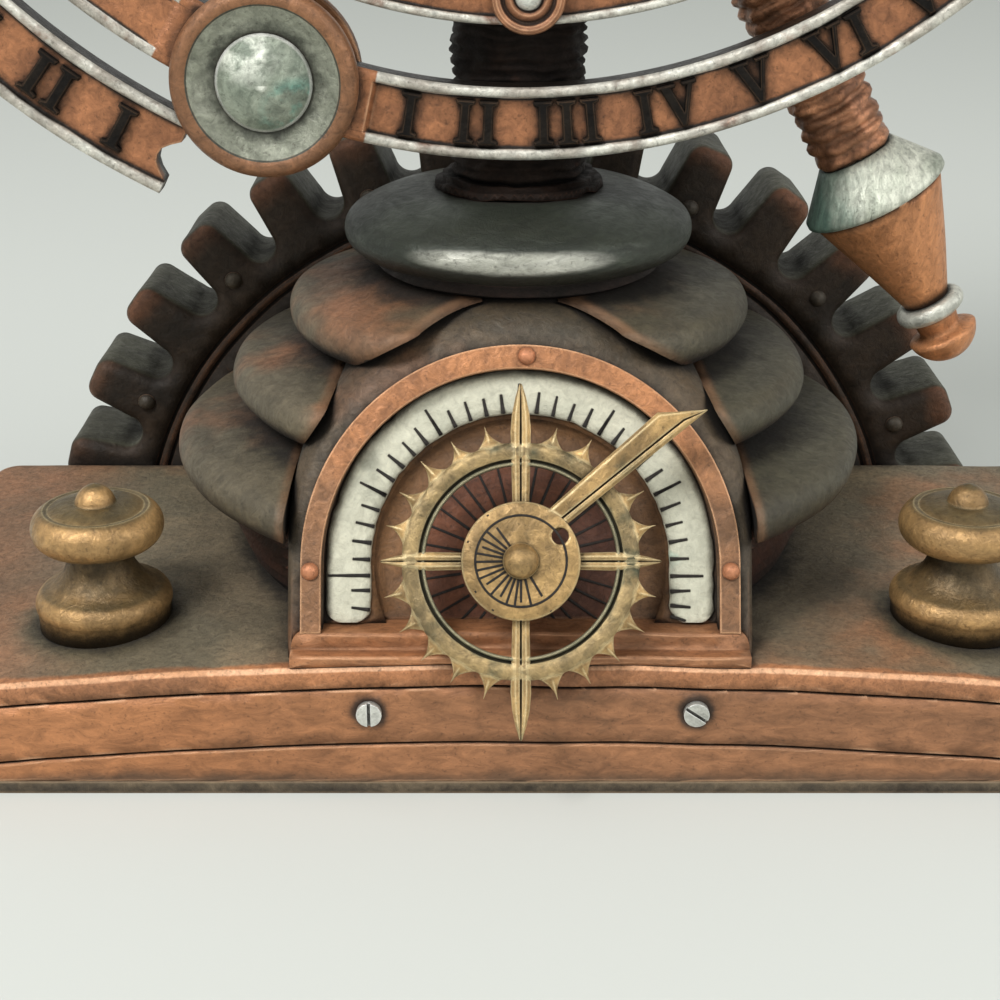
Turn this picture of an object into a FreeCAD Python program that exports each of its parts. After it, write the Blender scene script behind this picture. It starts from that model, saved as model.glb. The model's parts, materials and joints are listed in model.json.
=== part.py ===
import FreeCAD, Part
import math
import os

V = FreeCAD.Vector

# Steampunk desk clock. Millimetres, +Z up, front towards -Y.
# The origin is on the underside, straight below the column's axis.

# sizes of the plinth
base_half_width = 90.0
base_front_y = -48.0
base_back_y = 27.0
base_corner_r = 4.0
bottom_plate_t = 1.9
body_wall = 4.0
body_roof_t = 4.5
deck_t = 3.0
deck_top_z = 20.5
deck_edge_r = 1.2
lip_centre_drop = 0.4
arch_r = 800.0
band_t = 1.8
band_low_z = 8.0
band_groove = 0.45
front_offset_x = 1.7
foot_sink = 2.5

# sizes of the fasteners
band_screw_x = 22.5
band_screw_z = 12.9
band_screw_head_r = 1.75
band_screw_head_t = 1.0
screw_shank_r = 0.9
slot_w = 0.45
slot_depth = 0.4
plate_screw_inset = 9.0
base_screw_head_r = 2.8
base_screw_head_t = 1.2
base_screw_shank_r = 1.3
base_screw_len = 7.0
pillar_r = 4.2
rivet_proud = 1.1

# sizes of the binding posts
post_x = 62.0
post_setback = 18.5
post_flange_r = 9.8
post_flange_t = 4.4
post_waist_r = 4.5
post_waist_h = 9.3
post_stud_r = 2.0
post_stud_reach = 5.0
post_cap_r = 9.4
post_cap_t = 6.6
post_nub_r = 2.9
post_nub_h = 2.5
post_nub_tip_r = 0.9
post_nub_point = 0.3
post_seat_in = 0.3
post_bead_in = 1.4
post_bead_drop = 1.2
post_shelf_in = 2.3
post_shelf_drop = 0.8
post_cap_under_in = 3.0
post_cap_edge_in = 1.9
post_cap_edge_drop = 0.8
post_cap_groove_in = 2.6
post_y = base_front_y + post_setback
post_waist_top_z = deck_top_z + post_waist_h

# clearances
turn_clearance = 0.05
face_gap = 0.2

# sizes of the gauge, from its centre outwards
gauge_setback = 8.3
gauge_rise = 11.1
gauge_tilt = 25.2
dial_inner_r = 20.6
dial_w = 6.4
dial_t = 0.8
dial_recess = 1.8
dial_end_round = 1.5
floor_recess = 2.8
gauge_bore_play = 0.4
gauge_bore_drop = 0.5
gauge_frame_w = 2.8
gauge_frame_t = 1.2
gauge_foot_drop = 9.8
housing_rim = 1.3
housing_depth = 21.7
hood_flare = 1.0
hood_lift = 3.2
hood_shoulder = 7.0
hood_steps = 3
hood_root = 8.0
dial_foot_gap = 1.4
step_overhang = 1.3
step_setback = 3.0
step_rise = 2.9
step_lower_setback = 0.5
step_lower_rise = 0.6
step_depth = 9.0
step_root = 5.5
step_corner_r = 2.0
gauge_rivet_r = 1.25
gauge_rivet_inset = 1.3
gauge_rivet_drop = 1.1
gauge_top_rivet = (0.9, 1.6)
gauge_y = base_front_y + gauge_setback
gauge_z = deck_top_z + gauge_rise
gauge_foot_v = -gauge_foot_drop
dial_outer_r = dial_inner_r + dial_w
gauge_frame_bore_r = dial_outer_r + gauge_bore_play
gauge_frame_r = gauge_frame_bore_r + gauge_frame_w
housing_r = gauge_frame_r + housing_rim
step_half_width = gauge_frame_r + step_overhang
step_front_y = base_front_y + step_setback
step_lower_front_y = base_front_y + step_lower_setback
step_back_y = step_front_y + step_depth
step_top_z = deck_top_z + step_rise
step_lower_top_z = deck_top_z + step_lower_rise
step_low_z = deck_top_z - step_root

# sizes of the spiked wheel and its pointer
wheel_back_s = 5.4
wheel_t = 1.8
wheel_v = 0.2
wheel_ring_in_r = 12.9
wheel_ring_w = 3.1
wheel_thorn_h = 2.9
wheel_thorns = 24
thorn_in = 0.3
wheel_hub_r = 5.0
sword_long_reach = 8.0
sword_short_reach = 2.9
sword_w = 3.0
arbor_r = 1.5
arbor_boss_r = 3.2
arbor_root = 9.0
pointer_hub_r = 8.0
pointer_hub_t = 1.7
pointer_reach = 24.1
pointer_root_w = 3.0
pointer_end_w = 4.0
pointer_tip_cut = 5.4
pointer_t = 1.3
pointer_rest_deg = 38.9
pointer_hole_r = 1.15
pointer_hole_inset = 1.8
pointer_hole_deg = 32.5
pointer_play = 0.5
hub_nut_r = 2.4
hub_nut_h = 1.9
wheel_ring_out_r = wheel_ring_in_r + wheel_ring_w
wheel_thorn_r = wheel_ring_out_r + wheel_thorn_h
sword_long = wheel_ring_out_r + sword_long_reach
sword_short = wheel_ring_out_r + sword_short_reach
pointer_len = pointer_hub_r + pointer_reach
pointer_hole_at_r = pointer_hub_r - pointer_hole_inset
wheel_front_s = wheel_back_s + wheel_t
pointer_back_s = wheel_front_s + face_gap

# sizes of the dome of stacked saucers
saucer_r = [52.4, 43.6, 34.7]
saucer_up = 4.6
saucer_down = 4.2
saucer_lip = 4.4
saucer_crown = 2.3
saucer_shoulder = 3.2
saucer_edge_drop = 0.4
dome_bore_r = 12.0
bellows_h = [2.0, 1.1, 3.1]
bellows_in = 8.0
bellows_rib = 0.7
bellows_ribs = 2
foot_h = 13.5
foot_top_r = 47.0
foot_low_r = 40.5
foot_ribs = 7
cap_r = 25.9
cap_down = 3.8
cap_under_in = 4.4
cap_h = 5.2
cap_seat_in = 1.0
tie_rod_r = 2.0
tie_head_across = 7.0
tie_head_h = 2.8
tie_rod_reach = 6.0
cap_under_r = cap_r - cap_under_in
saucer_z = [deck_top_z + foot_h + saucer_down]
for lift in bellows_h[:-1]:
    saucer_z.append(saucer_z[-1] + saucer_up + lift + saucer_down)
cap_z = saucer_z[-1] + saucer_up + bellows_h[-1] + cap_down
cap_top_z = cap_z + cap_h

# sizes of the column
column_r = 9.8
column_rib_pitch = 1.55
column_rib_depth = 0.5
column_foot_steps = [(2.6, 1.0), (1.5, 0.9)]
column_root = 4.0

# sizes of the gear plate behind the dome
gear_z = 1.0
gear_t = 18.0
gear_root_r = 69.5
gear_tooth_h = 11.5
gear_pitch_deg = 11.0
gear_gap_deg = 16.7
gear_gap_count = 14
gear_gap_root_w = 5.4
gear_gap_tip_w = 8.6
gear_gap_run = 9.0
gear_tip_round = 2.4
gear_groove_in = [4.2, 6.1]
gear_groove_w = 0.6
gear_rivet_out = 1.1
gear_rivet_r = 1.5
gear_rivet_first_deg = 22.2
gear_rivet_step_deg = 22.0
gear_rivet_count = 7
gear_band_rivet_in = 7.9
gear_screw_x = 36.0
gear_screw_z = 8.6
gear_screw_seat_t = 3.0
gear_screw_play = 0.3
gear_tip_r = gear_root_r + gear_tooth_h

# sizes of the clock movement
cell_r = 7.1
cell_len = 49.0
cell_nub_len = 1.4
cell_nub_r = 2.7
cell_end_play = 2.1
cell_wall_play = 0.5
cell_bay = 0.75
movement_depth = 16.4
movement_wall = 1.4
bush_r = 4.0
bush_len = 2.4
nut_across = 10.0
nut_t = 1.6
hour_wheel_r = 9.0
minute_wheel_r = 8.0
second_wheel_r = 7.0
wheel_disc_t = 0.8
first_wheel_gap = 0.8
wheel_floor_pitch = 2.4
idler_r = 5.6
wheel_gap = 0.3
pivot_r = 0.6
pivot_depth = 0.8
motor_size = (20.0, 11.0, 6.0)
motor_play = (2.6, 2.1)
knob_r = 5.6
knob_len = 4.6
knob_at = (13.5, 14.0)
knob_arbor_r = 1.2
movement_size = cell_len + 2 * (cell_end_play + movement_wall)
movement_inner = movement_size / 2 - movement_wall
cell_drop = movement_inner - cell_r - cell_wall_play

# sizes of the clock head
case_wall = 3.0
case_weld = 0.5
case_play = 1.6
dial_shoulder = 2.8
dial_shoulder_t = 2.5
case_back_y = 16.0
dial_plate_y = -4.0
dial_plate_t = 1.0
bezel_overhang = 2.0
bezel_w = 6.5
bezel_t = 3.5
bezel_lip_t = 1.0
bezel_round = 0.9
glass_seat = 1.5
glass_t = 1.8
glass_gap = 1.48
back_t = 1.6
back_window_play = 0.5
seat_play = 0.1
hour_tube_r = 2.5
minute_arbor_r = 1.8
second_pin_r = 0.7
hand_t = 0.6
needle_t = 0.42
hour_hand_gap = 1.2
minute_hand_gap = 1.1
second_hand_gap = 0.9
hour_len = 23.0
hour_half_w = 3.0
hour_hub_r = 3.8
minute_len = 34.0
minute_half_w = 2.4
minute_hub_r = 3.2
second_len = 35.0
second_tail = 11.0
second_hub_r = 2.0
hour_deg = 305.0
minute_deg = 60.0
second_deg = 210.0
case_r = round(movement_size / math.sqrt(2.0) + case_play + dial_shoulder + case_wall, 2)
bezel_r = case_r + bezel_overhang
bezel_bore_r = bezel_r - bezel_w
glass_r = bezel_bore_r + glass_seat
back_window = movement_size + 2 * back_window_play
bush_top_s = -dial_plate_y + bush_len
hour_hand_s = bush_top_s + hour_hand_gap
minute_hand_s = hour_hand_s + hand_t + minute_hand_gap
second_hand_s = minute_hand_s + hand_t + second_hand_gap
bezel_front_y = -(second_hand_s + needle_t + glass_gap + glass_t + bezel_lip_t)
case_front_y = bezel_front_y + bezel_t

# sizes of the rings
ring_t = 5.0
ring_gap = 0.2
ring_rise = 6.5
main_ring_r = 97.5
main_ring_w = 10.1
rim_w = 1.65
floor_drop = 1.2
inner_gap = 8.4
inner_ring_w = 8.0
inner_rim_w = 1.2
arc_gap = 5.0
arc_w = 11.7
arc_bite_in = 6.8
arc_bite_r = 2.4
arc_start_deg = 26.5
arc_end_deg = 133.6
panel_start_deg = 13.2
panel_end_deg = -118.0
upper_panel_end_deg = 235.0
boss_margin_deg = 9.0
boss_inset = 4.3
boss_deg = [22.1, 138.0]
boss_r = 12.9
boss_t = 3.6
boss_rim_w = 2.5
boss_edge_r = 1.4
boss_cup_depth = 1.6
boss_dome_r = 6.7
boss_dome_h = 2.6
boss_back_t = 2.4
boss_screw_r = 1.5
stud_r = 5.1
stud_t = 1.8
stud_bead_r = 1.7
stud_bead_h = 0.6
stud_degs = [-0.8, 90.0, 180.0, 270.0]
spider_t = 3.0
spider_arm_w = 6.0
spider_arm_degs = [60.0, 120.0, 240.0, 300.0]
spider_arm_short = 2.0
spider_hub_w = 3.0
spider_screw_r = 1.3
spider_screw_head_r = 2.4
spider_screw_head_t = 1.2
spider_screw_skin = 1.0
saddle_w = 14.0
saddle_t = 5.0
saddle_inset = 0.5
ring_back_y = -(column_r + ring_gap)
ring_z = cap_top_z + ring_rise + main_ring_r
inner_ring_r = main_ring_r - main_ring_w - inner_gap
arc_in_r = main_ring_r + arc_gap
boss_at_r = main_ring_r - boss_inset
boss_cup_r = boss_r - boss_rim_w

# sizes of the alidade rod, measured along it from the rings' centre
rod_deg = 29.3
rod_offset = 5.2
rod_start = 20.0
rod_neck_r = 5.9
rod_neck_top_r = 6.6
rod_neck_past = 13.5
rod_flange_r = 10.9
rod_flange_len = 7.4
rod_flange_rim = 0.4
rod_cone_len = 18.2
rod_cone_in = 0.8
rod_cone_tip_r = 3.4
rod_ring_r = 5.3
rod_ring_len = 2.6
rod_tip_r = 5.3
rod_stem_len = 2.6
rod_brim_len = 0.8
rod_tip_h = 4.4
rod_tail_past = 6.5
rod_ferrule_in = 2.6
rod_ferrule_len = 4.0
rod_ferrule_rim = 1.2
rod_tail_ball_r = 6.4
rod_rib_pitch = 2.2
rod_rib_depth = 0.6
rod_neck_end = main_ring_r + rod_neck_past
rod_flange_end = rod_neck_end + rod_flange_len
rod_cone_end = rod_flange_end + rod_cone_len
rod_tail_end = main_ring_r + rod_tail_past

os.makedirs("parts", exist_ok=True)

big = 400.0
parts = {}


# helpers

def turned(profile, x=0.0, y=0.0):
    """Solid of revolution about a vertical axis from (radius, z) corners."""
    pts = [V(r, 0, z) for r, z in profile]
    face = Part.Face(Part.makePolygon(pts + [pts[0]]))
    solid = face.revolve(V(0, 0, 0), V(0, 0, 1), 360)
    solid.translate(V(x, y, 0))
    return solid


def turned_edges(edges, x=0.0, y=0.0):
    face = Part.Face(Part.Wire(edges))
    solid = face.revolve(V(0, 0, 0), V(0, 0, 1), 360)
    solid.translate(V(x, y, 0))
    return solid


def line(a, b):
    return Part.makeLine(V(a[0], 0, a[1]), V(b[0], 0, b[1]))


def arc(a, m, b):
    return Part.Arc(V(a[0], 0, a[1]), V(m[0], 0, m[1]), V(b[0], 0, b[1])).toShape()


def disc(r, s0, s1, u=0.0, v=0.0):
    """Cylinder in a front-facing local frame, from depth s0 to s1."""
    return Part.makeCylinder(r, s1 - s0, V(u, v, s0), V(0, 0, 1))


def washer(r_out, r_in, s0, s1, u=0.0, v=0.0):
    return disc(r_out, s0, s1, u, v).cut(disc(r_in, s0 - 1, s1 + 1, u, v))


def slab(points, s0, s1):
    wire = Part.makePolygon([V(u, v, s0) for u, v in points + [points[0]]])
    return Part.Face(wire).extrude(V(0, 0, s1 - s0))


def block(u0, u1, v0, v1, s0, s1):
    return Part.makeBox(u1 - u0, v1 - v0, s1 - s0, V(u0, v0, s0))


def facing(shape, y, z, tilt=0.0):
    """Stand a local shape up to face the front, leaning back by tilt degrees."""
    out = shape.copy()
    stand = FreeCAD.Placement(V(0, y, z), FreeCAD.Rotation(V(1, 0, 0), 90 - tilt))
    out.Placement = stand.multiply(out.Placement)
    return out


def on_gauge(shape):
    return facing(shape, gauge_y, gauge_z, gauge_tilt)


def on_ring(shape):
    """Local depth 0 is the rings' back plane."""
    return facing(shape, ring_back_y, ring_z)


def on_clock(shape):
    """Local depth is minus the row's y."""
    return facing(shape, 0, ring_z)


def polar(r, deg):
    """Place at an angle measured from straight down, positive to the left."""
    a = math.radians(deg)
    return (-r * math.sin(a), -r * math.cos(a))


def turn(shape, deg):
    """Turn a local shape about its own depth axis."""
    out = shape.copy()
    out.rotate(V(0, 0, 0), V(0, 0, 1), deg)
    return out


def sector(r_out, r_in, deg0, deg1, s0, s1):
    """Band piece between two angles measured from straight down."""
    ring = washer(r_out, r_in, s0, s1)
    steps = max(2, int(abs(deg1 - deg0) / 30) + 1)
    reach = r_out * 1.5
    pts = [(0.0, 0.0)]
    for k in range(steps + 1):
        pts.append(polar(reach, deg0 + (deg1 - deg0) * k / steps))
    return ring.common(slab(pts, s0 - 1, s1 + 1))


def rivet(r, s, u, v, proud=rivet_proud):
    """Domed head on a short neck, standing on depth s."""
    ball_r = (r * r + proud * proud) / (2 * proud)
    ball = Part.makeSphere(ball_r, V(u, v, s + proud - ball_r))
    return ball.common(disc(r, s, s + proud + 1, u, v))


def slotted(head_r, head_t, shank_r, reach, s, u, v, deg=90.0):
    """Slotted screw: head standing on depth s, shank behind it."""
    head = disc(head_r, s, s + head_t, u, v).fuse(disc(shank_r, s - reach, s, u, v))
    groove = block(-head_r - 1, head_r + 1, -slot_w / 2, slot_w / 2,
                   s + head_t - slot_depth, s + head_t + 1)
    groove = turn(groove, deg)
    groove.translate(V(u, v, 0))
    return head.cut(groove)


def hexagon(across):
    r = across / math.sqrt(3.0)
    return [(r * math.cos(math.radians(60 * k)), r * math.sin(math.radians(60 * k))) for k in range(6)]


def group(shapes):
    return Part.makeCompound(shapes)


def one_solid(shape):
    """The single solid inside a boolean result."""
    found = sorted(shape.Solids, key=lambda s: -s.Volume)
    return found[0]


def save(name, shape):
    parts[name] = shape


# plinth

def crown_z(x, y):
    """Height of the deck's top: arched along the front edge, level along the back."""
    f = (y - base_back_y) / (base_front_y - base_back_y)
    sag = arch_r - math.sqrt(arch_r ** 2 - x ** 2)
    return deck_top_z - (lip_centre_drop + sag) * f


def below_crown(lower=0.0):
    """Everything under the deck's top surface, lowered by a distance."""
    w = base_half_width + 12.0
    sections = []
    for y in (base_front_y - 12.0, base_back_y + 12.0):
        side = crown_z(w, y) - lower
        mid = crown_z(0, y) - lower
        top = Part.Arc(V(w, y, side), V(0, y, mid), V(-w, y, side)).toShape()
        box = Part.makePolygon([V(-w, y, side), V(-w, y, -60), V(w, y, -60), V(w, y, side)])
        sections.append(Part.Wire([top] + box.Edges))
    return Part.makeLoft(sections, True, True)


def plinth_outline(z0, z1):
    box = Part.makeBox(2 * base_half_width, base_back_y - base_front_y, z1 - z0,
                       V(-base_half_width, base_front_y, z0))
    upright = [e for e in box.Edges if abs(e.tangentAt(e.FirstParameter).z) > 0.9]
    return box.makeFillet(base_corner_r, upright)


def deck_shape():
    deck = plinth_outline(-1, deck_top_z + 5).common(below_crown()).cut(below_crown(deck_t))
    rim = []
    for e in deck.Edges:
        ends = [v.Point for v in e.Vertexes]
        if all(abs(p.z - crown_z(p.x, p.y)) < 0.05 for p in ends):
            rim.append(e)
    return deck.makeFillet(deck_edge_r, rim)


deck_solid = deck_shape()
crown_tool = below_crown()


def on_deck(shape):
    """Trim the foot of a piece to the crowned deck."""
    return one_solid(shape.cut(crown_tool))


def band_region(y0, y1, low, high):
    """Everything between the two arched grooves of the front face."""
    w = base_half_width + 10
    drop = arch_r - math.sqrt(arch_r ** 2 - w ** 2)
    top = Part.Arc(V(w, y0, high - drop), V(0, y0, high), V(-w, y0, high - drop)).toShape()
    bottom = Part.Arc(V(-w, y0, low - drop), V(0, y0, low), V(w, y0, low - drop)).toShape()
    left = Part.makeLine(V(-w, y0, high - drop), V(-w, y0, low - drop))
    right = Part.makeLine(V(w, y0, low - drop), V(w, y0, high - drop))
    return Part.Face(Part.Wire([top, left, bottom, right])).extrude(V(0, y1 - y0, 0))


def band_screw_places():
    return [(front_offset_x - band_screw_x, 90.0), (front_offset_x + band_screw_x, -35.0)]


def plate_screw_places():
    x = base_half_width - plate_screw_inset
    return [(sx * x, y) for sx in (-1, 1)
            for y in (base_front_y + plate_screw_inset, base_back_y - plate_screw_inset)]


def base_screw_places():
    """Head centre and driving direction of the plate's and the gear's screws."""
    under = [(V(x, y, 0), V(0, 0, 1)) for x, y in plate_screw_places()]
    seat_y = base_back_y + gear_screw_seat_t + base_screw_head_t
    behind = [(V(x, seat_y, gear_screw_z), V(0, -1, 0)) for x in (-gear_screw_x, gear_screw_x)]
    return under + behind


def base_screw_shapes():
    out = []
    for p, d in base_screw_places():
        head = Part.makeCylinder(base_screw_head_r, base_screw_head_t, p, d)
        shank = Part.makeCylinder(base_screw_shank_r, base_screw_head_t + base_screw_len, p, d)
        out.append(head.fuse(shank))
    return out


def base_screw_slots():
    out = []
    for p, d in base_screw_places():
        slot = Part.makeBox(3 * base_screw_head_r, 2 * slot_w, 2 * slot_depth,
                            V(-1.5 * base_screw_head_r, -slot_w, -slot_depth))
        slot.Placement = FreeCAD.Placement(p, FreeCAD.Rotation(V(0, 0, 1), d))
        out.append(slot)
    return out


def make_plinth():
    under_deck = below_crown(deck_t)
    body = plinth_outline(bottom_plate_t, deck_top_z).common(under_deck)
    roof_z = deck_top_z - deck_t - body_roof_t
    w = base_half_width - body_wall
    cavity = Part.makeBox(2 * w, base_back_y - base_front_y - 2 * body_wall, roof_z - bottom_plate_t,
                          V(-w, base_front_y + body_wall, bottom_plate_t))
    body = body.cut(cavity)
    for x, y in plate_screw_places():
        pillar = Part.makeCylinder(pillar_r, roof_z - bottom_plate_t, V(x, y, bottom_plate_t))
        body = body.fuse(pillar)
    recess = band_region(base_front_y - 1, base_front_y + band_t, band_low_z, deck_top_z)
    body = body.cut(recess)
    shank = body_wall - band_t
    for x, _ in band_screw_places():
        body = body.cut(Part.makeCylinder(screw_shank_r, shank + 2, V(x, base_front_y + band_t - 1,
                                          band_screw_z), V(0, 1, 0)))
    for screw in base_screw_shapes():
        body = body.cut(screw)
    stud_holes = [Part.makeCylinder(tie_rod_r, big, V(0, 0, -1))]
    for side in (-1, 1):
        stud_holes.append(Part.makeCylinder(post_stud_r, big, V(front_offset_x + side * post_x, post_y, -1)))
    for hole in stud_holes:
        body = body.cut(hole)
    save("base_body", one_solid(body))

    deck = deck_solid
    for hole in stud_holes:
        deck = deck.cut(hole)
    save("base_deck", one_solid(deck))

    band = band_region(base_front_y, base_front_y + band_t, band_low_z + band_groove, deck_top_z)
    band = band.common(plinth_outline(0, deck_top_z)).common(below_crown(deck_t + band_groove))
    for x, _ in band_screw_places():
        band = band.cut(Part.makeCylinder(screw_shank_r, 10, V(x, base_front_y - 1, band_screw_z), V(0, 1, 0)))
    save("front_band", one_solid(band))

    screws = []
    for x, deg in band_screw_places():
        s = slotted(band_screw_head_r, band_screw_head_t, screw_shank_r, body_wall, 0, x, 0, deg)
        screws.append(facing(s, base_front_y, band_screw_z))
    save("front_band_screws", group(screws))

    plate = plinth_outline(0, bottom_plate_t)
    screws = base_screw_shapes()
    for screw in screws:
        plate = plate.cut(screw)
    save("bottom_plate", one_solid(plate))
    save("base_screws", group([screw.cut(slot) for screw, slot in zip(screws, base_screw_slots())]))


# binding posts

def post_base(side):
    x = front_offset_x + side * post_x
    y = post_y
    z0 = deck_top_z - foot_sink
    z1 = deck_top_z + post_flange_t
    r = post_flange_r
    w = post_waist_r
    z2 = post_waist_top_z
    roof = deck_top_z - deck_t - body_roof_t
    seat = r - post_seat_in
    bead = (r - post_bead_in, z1 - post_bead_drop)
    shelf = (r - post_shelf_in, z1 - post_shelf_drop)
    flange = [line((post_stud_r, z0), (seat, z0)),
              line((seat, z0), (seat, deck_top_z)),
              arc((seat, deck_top_z), (r, deck_top_z + 1.4), bead),
              line(bead, shelf),
              arc(shelf, (w + 0.5, z1 + 2.2), (w, z2)),
              line((w, z2), (post_stud_r, z2)),
              line((post_stud_r, z2), (post_stud_r, z0))]
    base = on_deck(turned_edges(flange, x, y))
    stud = Part.makeCylinder(post_stud_r, z2 + post_stud_reach - roof, V(x, y, roof))
    return one_solid(base.fuse(stud))


def post_knob(side):
    """Round knob with a pointed nub, bored from below for the stud."""
    c0 = post_waist_top_z + face_gap
    c1 = c0 + post_cap_t
    mid = (c0 + c1) / 2
    r = post_cap_r
    bore = post_stud_r + turn_clearance
    bore_top = post_waist_top_z + post_stud_reach + face_gap
    tip = c1 + post_nub_h
    under = (r - post_cap_under_in, c0)
    edge = (r - post_cap_edge_in, c1 - post_cap_edge_drop)
    groove = (r - post_cap_groove_in, edge[1] - 0.1)
    cap = [line((bore, c0), under),
           arc(under, (r, mid), edge),
           line(edge, groove),
           arc(groove, (r - 4.4, c1 - 0.25), (post_nub_r, c1)),
           arc((post_nub_r, c1), (post_nub_r - 0.5, c1 + post_nub_h * 0.5), (post_nub_tip_r, tip)),
           line((post_nub_tip_r, tip), (0, tip + post_nub_point)),
           line((0, tip + post_nub_point), (0, bore_top)),
           line((0, bore_top), (bore, bore_top)),
           line((bore, bore_top), (bore, c0))]
    return turned_edges(cap, front_offset_x + side * post_x, post_y)


def make_posts():
    save("post_bases", group([post_base(side) for side in (-1, 1)]))
    save("left_post_knob", post_knob(-1))
    save("right_post_knob", post_knob(1))


# gauge

def horseshoe(r, foot_v, s0, s1, drop=0.0):
    """Arch outline: a circle carried down to a level foot."""
    round_part = disc(r, s0, s1, 0, -drop)
    keep = block(-big, big, foot_v, big, s0, s1)
    legs = block(-r, r, foot_v, -drop, s0, s1)
    return round_part.common(keep).fuse(legs).removeSplitter()


def hood_face(flare, lift, back):
    """The housing's outline, flared and lifted, moved level behind the gauge plane."""
    tau = math.radians(gauge_tilt)
    low = gauge_foot_v - hood_root
    faces = on_gauge(horseshoe(housing_r + flare, low, -1, 0, -lift)).Faces
    normal = V(0, -math.cos(tau), math.sin(tau))
    front = max(faces, key=lambda f: f.CenterOfMass.dot(normal)).copy()
    front.translate(V(0, back, 0))
    return front


def hood():
    """Hood behind the arch: a rounded shoulder that grows upwards, then a level tunnel."""
    wires = []
    for k in range(hood_steps + 1):
        a = math.radians(90.0 * k / hood_steps)
        grown = math.sin(a)
        face = hood_face(hood_flare * grown, hood_lift * grown, hood_shoulder * (1 - math.cos(a)))
        wires.append(face.OuterWire)
    shoulder = Part.makeLoft(wires, True, True)
    tunnel = hood_face(hood_flare, hood_lift, hood_shoulder).extrude(V(0, housing_depth - hood_shoulder, 0))
    return one_solid(shoulder.fuse(tunnel))


def hood_niche(forward):
    """All that the hood fills or that stands in front of it."""
    return hood_face(hood_flare, hood_lift, -forward).extrude(V(0, housing_depth + forward, 0))


def gauge_step():
    lower = Part.makeBox(2 * step_half_width, step_back_y - step_lower_front_y, step_lower_top_z - step_low_z,
                         V(-step_half_width, step_lower_front_y, step_low_z))
    upper = Part.makeBox(2 * step_half_width, step_back_y - step_front_y, step_top_z - step_low_z,
                         V(-step_half_width, step_front_y, step_low_z))
    corner = [e for e in upper.Edges if abs(e.tangentAt(e.FirstParameter).y) > 0.9
              and e.CenterOfMass.z > step_top_z - 0.1]
    upper = upper.makeFillet(step_corner_r, corner)
    return lower.fuse(upper).removeSplitter()


def sword(length, half_w):
    """Long leaf-shaped spoke with a raised spine, pointing up."""
    s0 = wheel_back_s
    s1 = wheel_front_s
    root = wheel_hub_r - 1.0
    pts = [(-half_w, root), (half_w, root), (half_w, length * 0.72), (0.35, length),
           (-0.35, length), (-half_w, length * 0.72)]
    return slab(pts, s0, s1)


def thorn(deg):
    """One hooked thorn between two scallops."""
    half = math.radians(180.0 / wheel_thorns)
    r0 = wheel_ring_out_r - 0.4
    pts = []
    for k in range(5):
        f = k / 4.0
        a = -half * (1 - f) ** 2.2
        rr = r0 + (wheel_thorn_r - r0) * f
        pts.append((rr * math.sin(a) - 0.18 * f, rr * math.cos(a)))
    pts += [(-u, v) for u, v in reversed(pts)]
    return turn(slab(pts, wheel_back_s + thorn_in, wheel_front_s - thorn_in), deg)


def gauge_rivets():
    side = gauge_frame_r - gauge_rivet_inset
    places = [(gauge_top_rivet[0], gauge_frame_r - gauge_top_rivet[1]), (-side, -gauge_rivet_drop),
              (side, -gauge_rivet_drop)]
    return [on_gauge(rivet(gauge_rivet_r, gauge_frame_t, u, v)) for u, v in places]


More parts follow.
